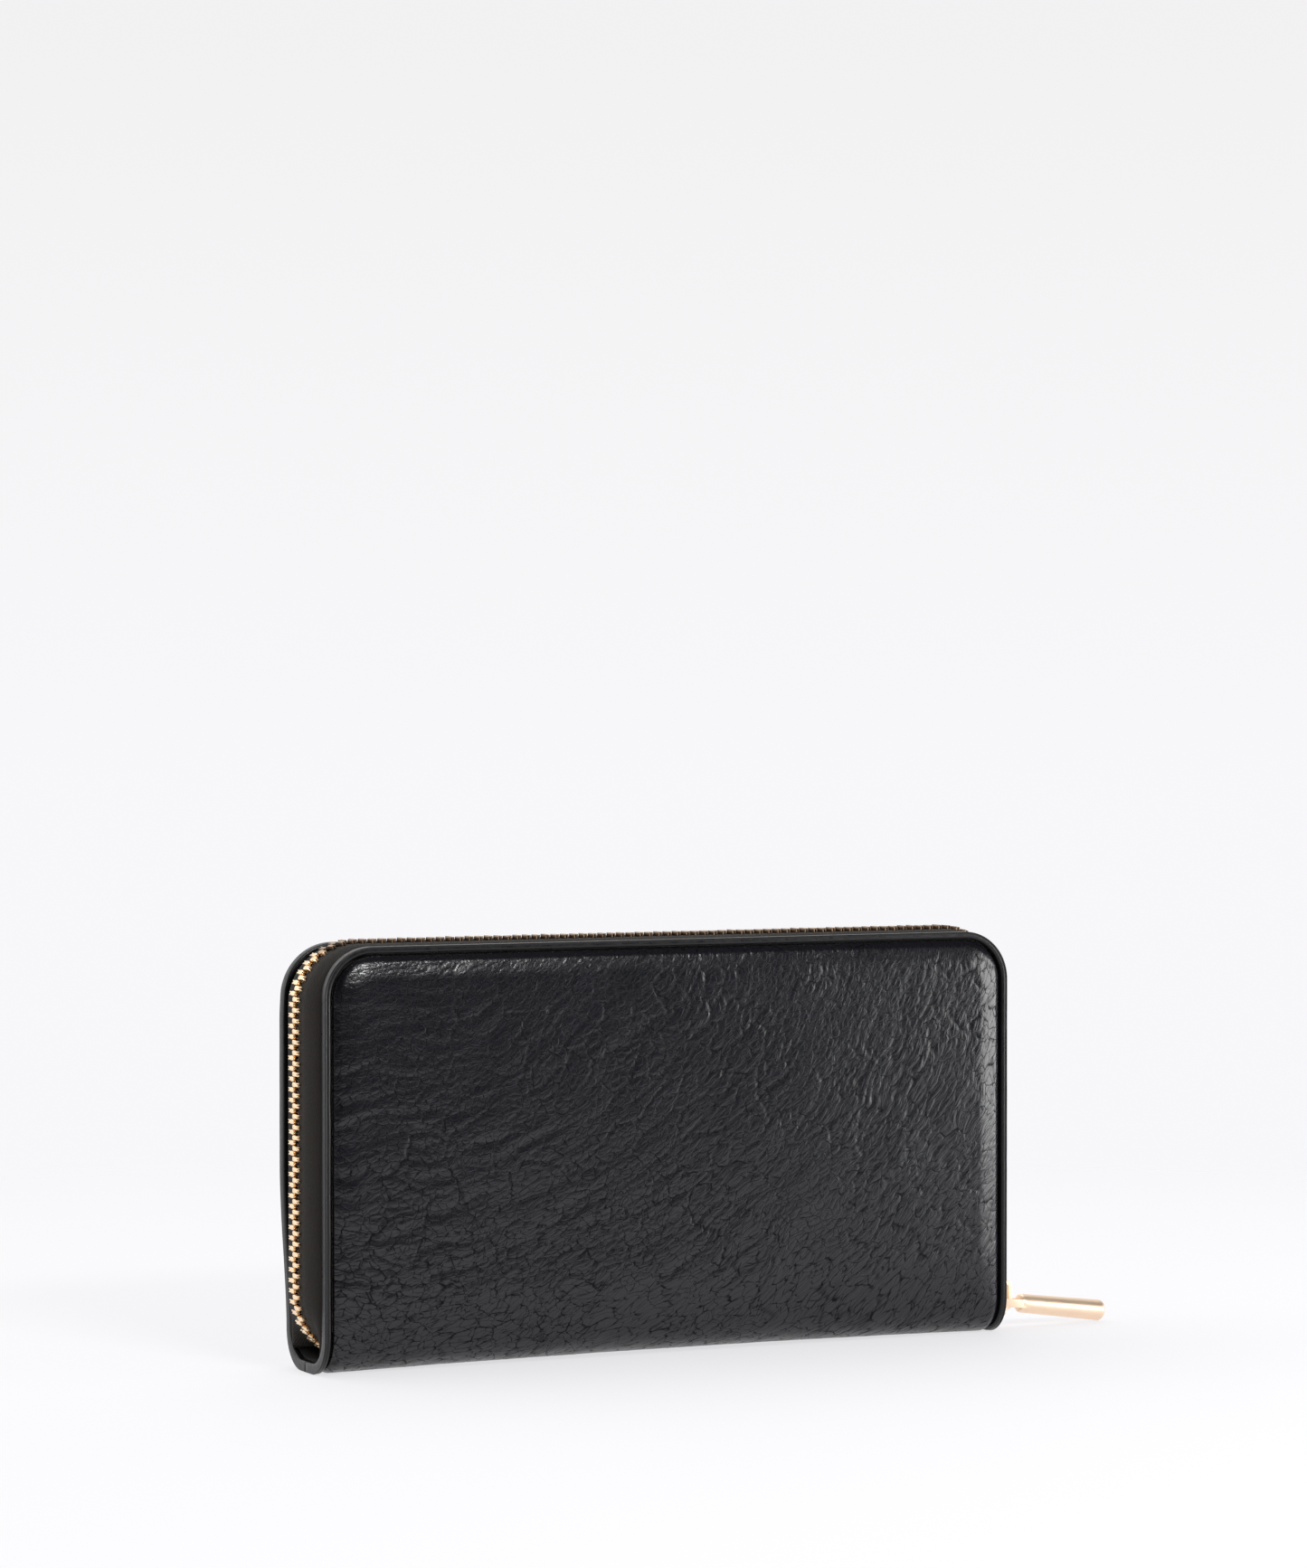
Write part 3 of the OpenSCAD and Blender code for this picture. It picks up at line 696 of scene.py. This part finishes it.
def tooth_shape():
    """One tooth of the front row (outward, across, along): a notched head and two legs on a core."""
    profile = [
        (-2.95, -0.5), (-2.9, -0.2), (-2.45, -0.12), (-2.45, 0.12), (-2.9, 0.2), (-2.95, 0.5), (-1.5, 0.5),
        (-1.15, 0.62), (-0.1, 0.6), (0.2, 0.5), (0.42, 0.25), (0.45, 0.0), (0.42, -0.25), (0.2, -0.5),
        (-0.1, -0.6), (-1.15, -0.62), (-1.5, -0.5),
    ]
    core = [(-1.2, -0.5), (-1.2, 0.5), (0.1, 0.5), (0.34, 0.2), (0.34, -0.2), (0.1, -0.5)]
    bm = bmesh.new()
    prism(bm, profile, 0.27, TOOTH_HALF)
    prism(bm, profile, -TOOTH_HALF, -0.27)
    prism(bm, core, -0.3, 0.3)
    bmesh.ops.recalc_face_normals(bm, faces=bm.faces)
    rims = [e for e in bm.edges if all(abs(abs(v.co.x) - TOOTH_HALF) < 1e-4 for v in e.verts)]
    bmesh.ops.bevel(bm, geom=rims, offset=0.16, segments=2, profile=0.6, affect="EDGES", clamp_overlap=True)
    return taken(bm)


def teeth_row(name, origins, outs, aheads, side, mat, scale=1.0, seed=71):
    """A row of teeth at the given places, in one mesh."""
    shape, faces = tooth_shape()
    shape = shape * scale
    rng = np.random.default_rng(seed)
    verts, all_faces = [], []
    y = np.array([0, 1.0, 0])
    for k, (p, out, ahead) in enumerate(zip(origins, outs, aheads)):
        tilt = rng.normal(0, 0.02)
        u = shape[:, 0] + tilt * shape[:, 1]
        across = -shape[:, 1] * side
        along = shape[:, 2] + tilt * 0.7 * shape[:, 1]
        verts.append(p + np.outer(u, out) + np.outer(across, y) + np.outer(along, ahead))
        all_faces += [[i + k * len(shape) for i in f] for f in faces]
    # painted light and shade: teeth on the sides are painted bright all over, teeth facing up or down keep
    # the painted shade below their crowns
    lit_all_over = 1 - smooth(np.abs(np.asarray(outs)[:, 2]), 0.8, 0.97)
    rise = np.maximum(lit_all_over[:, None], 0.89 * shape[:, 0] / shape[:, 0].max()).ravel()
    return sharpen(make(name, np.concatenate(verts), all_faces, mat, {"rise": rise}), 40)


def zip_teeth(side, mat):
    """All the teeth on one tape, the ends' teeth among them."""
    left = (HALF_RUN + LEFT_END) / PITCH
    right = (HALF_RUN + RIGHT_END) / PITCH
    if side < 0:
        t = np.arange(-math.floor(left), math.floor(right) + 1) * PITCH
    else:
        t = (np.arange(-math.floor(left + 0.5) + 1, math.floor(right + 0.5) + 1) - 0.5) * PITCH
    return teeth_row(label(side) + "_teeth", *zip_frame(t), side, mat)


def coin_tape(side, mat):
    """The coin zip's tape: inside the pocket's wall, out round the slider and in to the teeth."""
    lo, hi = span("coin_front_tape")
    line = np.array([
        (2.4, 70.2), (2.4, 76.2), (2.7, 77.2), (3.7, 78.3), (4.3, 79.2), (4.5, 80.2), (4.3, 80.8),
        (3.9, 81.0), (2.4, 81.0), (1.0, 81.0),
    ])
    x = np.linspace(lo[0] + 0.1, hi[0] - 0.1, 90)[:, None]
    normal, run = profile_sides(line)
    wave = 0.04 * noise(x / 8, x * 0, 81)
    sides = line + CLOTH * normal, line - CLOTH * normal
    near, far = (points(x, wave - p[:, 0], p[:, 1]) for p in sides)
    return place(slab(label(side) + "_coin_tape", near, far, flat_map(x, run), mat), side)


def coin_teeth(side, mat):
    """The coin zip's teeth on one tape."""
    lo, hi = span(f"coin_{label(side)}_teeth")
    pitch, half = PITCH * COIN_SCALE, TOOTH_T * COIN_SCALE / 2
    count = int(round((hi[0] - lo[0] - 2 * half) / pitch)) + 1
    x = hi[0] - half - np.arange(count) * pitch
    places = points(x, 0.0, (lo[2] + hi[2]) / 2)
    outs, aheads = np.tile((0, 0, 1.0), (count, 1)), np.tile((-1.0, 0, 0), (count, 1))
    return teeth_row(label(side) + "_coin_teeth", places, outs, aheads, side, mat, COIN_SCALE, 72)


# ---- Pull ----

PULL_L = 31.0
BAR_START = 5.0
WEB_R = 1.08
TONGUE_W = 2.4


def lathe(profile, sides):
    """Points and faces of a closed body of revolution about x. profile holds (x, radius)."""
    angle = np.linspace(0, 2 * math.pi, sides, endpoint=False)
    x, r = np.array(profile).T[..., None]
    return points(x, r * np.cos(angle), r * np.sin(angle)).reshape(-1, 3), tube_faces(len(profile), sides)


def tongue():
    """The pull's flat end with an eye round the crown, and a round web at the pivot."""
    turn = np.linspace(-math.pi / 2, math.pi / 2, 13)
    outer = [(-1.078 * math.cos(a), -TONGUE_W * math.sin(a)) for a in turn]
    outer += [(6.3, -TONGUE_W), (6.3, TONGUE_W)]
    inner = [(0.95, 1.45), (0.95, -1.45), (4.9, -1.45), (5.7, -0.8), (5.7, 0.8), (4.9, 1.45)]
    bm = bmesh.new()
    layers = []
    for z in (-WEB_R, WEB_R):
        loops = [[bm.verts.new((a, b, z)) for a, b in ring] for ring in (outer, inner)]
        edges = [bm.edges.new((loop[k - 1], loop[k])) for loop in loops for k in range(len(loop))]
        bmesh.ops.triangle_fill(bm, edges=edges, use_beauty=True)
        layers.append(loops)
    for low, high in zip(*layers):
        for k in range(len(low)):
            bm.faces.new((low[k - 1], low[k], high[k], high[k - 1]))
    bmesh.ops.recalc_face_normals(bm, faces=bm.faces)
    rims = [e for e in bm.edges if e.is_manifold and e.calc_face_angle(0) > 0.8]
    bmesh.ops.bevel(bm, geom=rims, offset=0.22, segments=3, profile=0.6, affect="EDGES", clamp_overlap=True)
    verts, faces = taken(bm)
    reach = np.hypot(verts[:, 0], verts[:, 2])
    web = (verts[:, 0] < 0) | ((verts[:, 0] < 1.2) & (np.abs(verts[:, 1]) < 1.75))
    verts[:, [0, 2]] *= np.where(web & (reach > WEB_R), WEB_R / reach, 1.0)[:, None]
    return verts, faces


def pull(mat):
    """The bar pull: a flat tongue, and a round bar that widens to a domed tip."""
    profile = [(0, 0.6), (0, 1.9), (0.05, 2.1), (0.2, 2.3), (0.5, 2.42)]
    profile = [(BAR_START + x, r) for x, r in profile]
    for x in np.linspace(BAR_START + 1, PULL_L - 1.8, 9):
        profile.append((x, 2.45 + 0.3 * (x - BAR_START) / (PULL_L - BAR_START)))
    for a in np.linspace(0.05, math.pi / 2 - 0.04, 12):
        profile.append((PULL_L - 1.7 + 1.7 * math.sin(a), 2.75 * math.cos(a)))
    bar, bar_faces = lathe(profile, 56)
    flat_end, end_faces = tongue()
    x, y, z = np.concatenate([bar, flat_end]).T
    faces = bar_faces + [[v + len(bar) for v in f] for f in end_faces]
    droop = math.radians(7.5)
    c, sn = math.cos(droop), math.sin(droop)
    verts = points(x * c + z * sn, y, z * c - x * sn) + (ZIP_X + 3.65, 0, 6.7)
    return sharpen(make("bar_pull", verts, faces, mat), 38)


# ---- Inside ----

HEM = 2.2


def pocket_sheet(name, node, mat, side, seed):
    """A thin panel in the place of a CAD sheet, with a folded top hem, soft corners and gentle waves."""
    (x0, y0, z0), (x1, y1, z1) = span(node)
    near, far = sorted((abs(y0), abs(y1)))
    z = np.concatenate([np.linspace(z0, z1 - HEM - 0.6, 26), z1 - HEM + np.linspace(-0.4, HEM - 0.7, 7),
                        z1 - np.array([0.5, 0.3, 0.12, 0.0])])
    gx, gz = np.meshgrid(np.linspace(x0, x1, 87), z)
    hemmed = smooth(gz, z1 - HEM - 0.3, z1 - HEM + 0.1)
    rounding = np.sqrt(np.clip(1 - smooth(gz, z1 - 0.5, z1 + 0.05) ** 2, 0.02, 1))
    mid = (near + far) / 2
    half = (far - near) / 2 - 0.03
    wave = 0.009 * noise(gx / 24, gz / 24, 91 + seed)
    stitch_dip = 0.06 * np.exp(-((gx / 0.8) ** 2))
    front = mid - (half - 0.05 + 0.05 * hemmed) * rounding - wave + stitch_dip
    back = mid + (half - 0.02) * rounding
    return place(slab(name, points(gx, -front, gz), points(gx, -back, gz), flat_map(gx, gz), mat), side)


def stitches(name, lines, mat):
    """Rows of stitches in one mesh. lines hold (start, end, normal) in the front half's frame."""
    length, width, thick, gap = 1.9, 0.32, 0.12, 0.6
    ring = np.linspace(0, 2 * math.pi, 8, endpoint=False)
    along = np.array([-0.5, -0.42, -0.2, 0.2, 0.42, 0.5])
    fat = np.array([0.25, 0.75, 1.0, 1.0, 0.75, 0.25])
    verts, faces = [], []
    for start, end, normal in lines:
        start, end, normal = (np.array(p, float) for p in (start, end, normal))
        total = np.linalg.norm(end - start)
        ahead = (end - start) / total
        across = np.cross(normal, ahead)
        for k in range(int(total / (length + gap))):
            middle = start + ahead * ((k + 0.5) * (length + gap))
            base = len(verts) * len(ring) * len(along)
            pts = (middle + ahead * (along[:, None, None] * length)
                   + across * (fat[:, None, None] * np.cos(ring)[None, :, None] * width / 2)
                   + normal * (fat[:, None, None] * np.sin(ring)[None, :, None] * thick / 2))
            verts.append(pts.reshape(-1, 3))
            faces += [[i + base for i in f] for f in tube_faces(len(along), len(ring))]
    return make(name, np.concatenate(verts), faces, mat)


def gusset(side, right, mat):
    """A pleated gusset between a cover's inside and the coin pocket."""
    line = np.array([
        (91.0, 10.0), (88.5, 10.0), (87.4, 8.4), (86.6, 7.5), (85.2, 7.4), (70.4, 7.25), (70.0, 6.9),
        (70.4, 6.45), (73.2, 4.9), (76.0, 3.45), (81.5, 3.42),
    ])
    lo, hi = span("right_front_gusset")
    z = np.linspace(lo[2], hi[2], 40)[:, None]
    steps = np.linspace(0, 1, 5)[1:, None]
    fine = np.concatenate([line[:1]] + [a + (b - a) * steps for a, b in zip(line, line[1:])])
    normal, run = profile_sides(fine)
    end = 1 if right else -1
    sides = fine + CLOTH * normal, fine - CLOTH * normal
    near, far = (points(end * p[:, 0], -p[:, 1], z) for p in sides)
    name = f"{'right' if right else 'left'}_{label(side)}_pleat"
    return place(slab(name, near, far, flat_map(run, z), mat), side)


def coin_edges(mat):
    """The strips that close the coin pocket's sides and bottom, as one U-shaped piping."""
    lo, hi = span("coin_edge_strip")
    r, bend = 0.75, 3
    x0, x1, z0, z1 = lo[0] + r, hi[0] - r, lo[2] + r, hi[2]
    turn = np.linspace(0, math.pi / 2, 8)
    path = [(x0, z1)] + [(x0, z) for z in np.linspace(z1 - 2, z0 + bend, 24)]
    path += [(x0 + bend - bend * math.cos(a), z0 + bend - bend * math.sin(a)) for a in turn]
    path += [(x, z0) for x in np.linspace(x0 + 2 * bend, x1 - 2 * bend, 30)]
    path += [(x1 - bend + bend * math.sin(a), z0 + bend - bend * math.cos(a)) for a in turn]
    path += [(x1, z) for z in np.linspace(z0 + 2 * bend, z1, 24)]
    path = np.array(path)
    ahead = np.gradient(path, axis=0)
    ahead /= np.linalg.norm(ahead, axis=1, keepdims=True)
    sideways = np.stack([-ahead[:, 1], ahead[:, 0]], -1)
    ring = np.linspace(0, 2 * math.pi, 16, endpoint=False)
    half_y = (hi[1] - lo[1]) / 2 - 0.02
    wide = np.sign(np.cos(ring)) * np.abs(np.cos(ring)) ** 0.6 * r
    deep = np.sign(np.sin(ring)) * np.abs(np.sin(ring)) ** 0.4 * half_y
    verts = points(path[:, :1] + sideways[:, :1] * wide, deep, path[:, 1:] + sideways[:, 1:] * wide)
    run = np.cumsum(np.linalg.norm(np.diff(path, axis=0, prepend=path[:1]), axis=1))
    flat = flat_map(run[:, None], ring * 1.5)
    return make("coin_edge_piping", verts.reshape(-1, 3), tube_faces(len(path), 16), mat, {"flat": flat})


def dress_cad(nodes, mat, width):
    """Gives CAD nodes their finish, and rounds their edges a little."""
    for n in nodes:
        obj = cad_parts[n]
        obj.data.materials.clear()
        obj.data.materials.append(mat)
        weld = obj.modifiers.new("weld", "WELD")
        weld.merge_threshold = 0.002 * MM
        bevel = obj.modifiers.new("edges", "BEVEL")
        bevel.width = width * MM
        bevel.segments = 3
        bevel.limit_method = "ANGLE"
        bevel.angle_limit = math.radians(35)
        bevel.harden_normals = True


# ---- Studio ----

FLOOR_TONE = (0.23, 0.23, 0.235)
PALE_LOW = (0.935, 0.93, 0.95)
PALE_HIGH = (0.893, 0.883, 0.892)
SKY_PATCHES = [((-0.85, 0.5, 0.1), 0.35, 1.1), ((0, 0.6, 0.8), 0.3, 0.5), ((0.6, 0.8, 0.1), 0.3, 0.5)]
LAMPS = [
    # name, place, target, width, height, watts
    ("overhead", (-0.1, 0.4, 1.1), (0.0, -0.1, 0.0), 1.3, 0.9, 6.5),
    ("key", (0.08, -0.94, 0.64), (0.0, 0.0, 0.09), 0.36, 0.12, 6.0),
    ("card", (0.66, -0.36, 0.02), (0.10, 0.0, 0.03), 0.6, 0.5, 6.2),
    ("left", (-1.3, 0.3, 0.4), (-0.09, 0.0, 0.06), 0.7, 0.6, 4.0),
]


def floor_material():
    """Matt pale light table that fades out into the backdrop half a metre away."""
    glow = {"Emission_Color": (0.965, 0.96, 0.98, 1), "Emission_Strength": 0.7}
    m = Shader("studio_floor", FLOOR_TONE, 0.95, Specular_IOR_Level=0.1, **glow)
    pos = m.position()
    tone = m.noise(pos, 3.0, 2.0)
    m.color(tone, FLOOR_TONE, tuple(c + 0.012 for c in FLOOR_TONE))
    away = m.add("ShaderNodeVectorMath", {"operation": "LENGTH"}, i0=pos).outputs["Value"]
    clear = m.add("ShaderNodeBsdfTransparent").outputs[0]
    faded = m.add("ShaderNodeMixShader", i0=m.remap(away, 0.34, 0.66), i1=m.bsdf.outputs[0], i2=clear)
    m.tree.links.new(faded.outputs[0], m.tree.nodes["Material Output"].inputs["Surface"])
    return m.mat


def sky():
    """The surroundings: a pale backdrop, and in reflections a dim room with three bright patches."""
    world = bpy.data.worlds.new("studio")
    world.use_nodes = True
    tree = world.node_tree
    add = functools.partial(add_node, tree)
    back = tree.nodes["Background"]
    direction = add("ShaderNodeTexCoord").outputs["Generated"]
    level = 0.025
    for toward, low, strength in SKY_PATCHES:
        unit = Vector(toward).normalized()
        dot = add("ShaderNodeVectorMath", {"operation": "DOT_PRODUCT"}, i0=direction, i1=unit)
        eased = {"interpolation_type": "SMOOTHSTEP"}
        patch = add("ShaderNodeMapRange", eased, i0=dot.outputs["Value"], i1=low, i2=1.0)
        added = {"operation": "MULTIPLY_ADD"}
        level = add("ShaderNodeMath", added, i0=patch.outputs[0], i1=strength, i2=level).outputs[0]
    room = add("ShaderNodeCombineColor", i0=level, i1=level, i2=level)
    height = add("ShaderNodeSeparateXYZ", i0=direction).outputs[2]
    fade = add("ShaderNodeMapRange", i0=height, i1=-0.02, i2=0.13).outputs[0]
    pale = add("ShaderNodeMix", {"data_type": "RGBA"}, i0=fade, i6=(*PALE_LOW, 1), i7=(*PALE_HIGH, 1))
    tree.links.new(pale.outputs[2], back.inputs[0])
    lit = add("ShaderNodeBackground", i0=room.outputs[0])
    seen = add("ShaderNodeLightPath").outputs["Is Camera Ray"]
    mix = add("ShaderNodeMixShader", i0=seen, i1=lit.outputs[0], i2=back.outputs[0])
    tree.links.new(mix.outputs[0], tree.nodes["World Output"].inputs[0])
    bpy.context.scene.world = world


def studio():
    """A pale floor, four soft lamps and a soft sky."""
    rings, sides = (0.15, 0.4, 0.8, 1.6), 64
    angle = np.linspace(0, 2 * math.pi, sides, endpoint=False)
    verts = [(0, 0, 0)] + [(r * math.cos(a) / MM, r * math.sin(a) / MM, 0) for r in rings for a in angle]
    faces = [[0, 1 + k, 1 + (k + 1) % sides] for k in range(sides)] + grid_faces(len(rings), sides, True, 1)
    make("studio_floor", np.array(verts), faces, floor_material())
    for name, place_at, target, size, size_y, power in LAMPS:
        light = bpy.data.lights.new(name, "AREA")
        light.shape, light.size, light.size_y, light.energy = "RECTANGLE", size, size_y, power
        lamp = bpy.data.objects.new(name, light)
        lamp.location = place_at
        lamp.rotation_mode = "QUATERNION"
        lamp.rotation_quaternion = (Vector(target) - Vector(place_at)).to_track_quat("-Z", "Y")
        lamp.visible_camera = False
        bpy.context.scene.collection.objects.link(lamp)
    sky()
    bpy.context.scene.view_settings.view_transform = "Standard"


def camera():
    """The camera to the left of the wallet's front, almost level."""
    cam = bpy.data.cameras.new("camera")
    cam.lens, cam.sensor_width = 112.4, 36
    cam.clip_start, cam.clip_end = 0.05, 50
    obj = bpy.data.objects.new("camera", cam)
    yaw, pitch = 0.4468, math.radians(1.21)
    ahead = Vector((math.sin(yaw) * math.cos(pitch), math.cos(yaw) * math.cos(pitch), -math.sin(pitch)))
    obj.location = (-0.5353, -1.1163, 0.1696)
    obj.rotation_mode = "QUATERNION"
    obj.rotation_quaternion = ahead.to_track_quat("-Z", "Y")
    bpy.context.scene.collection.objects.link(obj)
    bpy.context.scene.camera = obj


# ---- Assembly ----

def hem_seam(lo, hi):
    """A row of stitches under the top hem of a pocket with these corners."""
    y, z = hi[1] + 0.02, hi[2] - 1.4
    return (lo[0] + 2, y, z), (hi[0] - 2, y, z), (0, 1, 0)


def build_pockets(name, side, mats):
    """A cover's slip pocket and card slots, with their seams."""
    body = name + "_cover"
    slip = pocket_sheet(name + "_slip_panel", name + "_slip_pocket", mats["pocket"], side, 1)
    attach(stands_for(slip, "pocket_leather", name + "_slip_pocket"), body)
    seams = []
    for number in (1, 2, 3, 4):
        node = f"{name}_card_slot_{number}"
        card = pocket_sheet(f"{name}_card_panel_{number}", node, mats["pocket"], side, number + 1)
        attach(stands_for(card, "pocket_leather", node), body)
        lo, hi = span(f"front_card_slot_{number}")
        seams.append(hem_seam(lo, hi))
        y = hi[1] + 0.02
        below = hi[2] - 11 if number < 4 else lo[2]
        seams.append(((0, y, below + 0.5), (0, y, hi[2] - 2.6), (0, 1, 0)))
    seams.append(hem_seam(*span("front_slip_pocket")))
    sewn = place(stitches(name + "_pocket_seams", seams, mats["thread"]), side)
    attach(sewn, body)


def build_covers(mats):
    """Leather, binding, lining, zip and pockets of both covers, each with its half of the spine."""
    for name, side in COVERS.items():
        skin = bow(hide(side, mats["hide"]), side)
        fold(stands_for(skin, "outer_leather", name + "_leather", "spine_leather"))
        edge = bow(binding(side, mats["binding"]), side)
        fold(stands_for(edge, "binding_leather", name + "_binding", "spine_binding"))
        inside = bow(lining(side, mats["lining"]), side)
        fold(stands_for(inside, "lining", name + "_lining", "spine_lining"))
        tape = zip_tape(side, mats["tape"])
        nodes = name + "_zip_tape", "left_end_tape", "right_end_tape"
        fold(stands_for(tape, "zip_tape", *nodes))
        teeth = zip_teeth(side, mats["teeth"])
        nodes = name + "_zip_teeth", "left_end_teeth", "right_end_teeth"
        fold(stands_for(teeth, "zip_metal", *nodes))
        build_pockets(name, side, mats)


def build_inside(mats):
    """The gussets and the coin pocket."""
    for name, side in COVERS.items():
        for right in (True, False):
            pleat = gusset(side, right, mats["gusset"])
            stands_for(pleat, "gusset_fabric", ("right_" if right else "left_") + name + "_gusset")
            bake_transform(pleat)
        wall = pocket_sheet(name + "_coin_panel", f"coin_{name}_wall", mats["coin"], side, 7)
        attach(stands_for(wall, "coin_fabric", f"coin_{name}_wall"), "spine")
        tape = coin_tape(side, mats["tape"])
        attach(stands_for(tape, "zip_tape", f"coin_{name}_tape"), "spine")
        teeth = coin_teeth(side, mats["teeth"])
        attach(stands_for(teeth, "zip_metal", f"coin_{name}_teeth"), "spine")
    piping = coin_edges(mats["coin"])
    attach(stands_for(piping, "coin_fabric", "coin_edge_strip"), "spine")


def build_hard_parts(mats):
    """The pull, and the finish of the sliders, stops and boards that keep their CAD shape."""
    bar = pull(mats["polished"])
    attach(stands_for(bar, "polished_metal", "zip_pull"), "zip_pull_body")
    sliders = ["zip_slider_body", "zip_slider_crown", "coin_slider_body", "coin_slider_crown", "coin_pull"]
    dress_cad(sliders, mats["polished"], 0.18)
    dress_cad(["zip_stops", "coin_zip_stops"], mats["stops"], 0.1)
    dress_cad(["front_board", "back_board", "spine_board"], mats["board"], 0.1)


def main():
    """The whole scene."""
    mats = {
        "hide": hide_material(),
        "binding": binding_material(),
        "tape": twill_material("zip_tape_twill", (0.004, 0.0033, 0.0028), (0.042, 0.035, 0.029), 0.55),
        # the teeth's second colour is their painted shade
        "teeth": teeth_material((1.0, 0.76, 0.50), (0.15, 0.10, 0.065)),
        "stops": metal_material("gilt_stops", (0.95, 0.66, 0.33), (0.7, 0.45, 0.22), 0.24),
        "polished": metal_material("satin_rose_gold", (0.97, 0.75, 0.56), (0.95, 0.72, 0.54), 0.4),
        "lining": twill_material("lining_cloth", (0.012, 0.011, 0.011), (0.03, 0.028, 0.027), 0.4),
        "gusset": twill_material("gusset_cloth", (0.014, 0.013, 0.013), (0.034, 0.032, 0.03), 0.35),
        "coin": twill_material("coin_cloth", (0.02, 0.019, 0.018), (0.045, 0.042, 0.04), 0.45),
        "pocket": pocket_material(),
        "board": board_material(),
        "thread": thread_material(),
    }
    build_covers(mats)
    build_inside(mats)
    build_hard_parts(mats)
    studio()
    camera()


main()
bpy.context.view_layer.update()
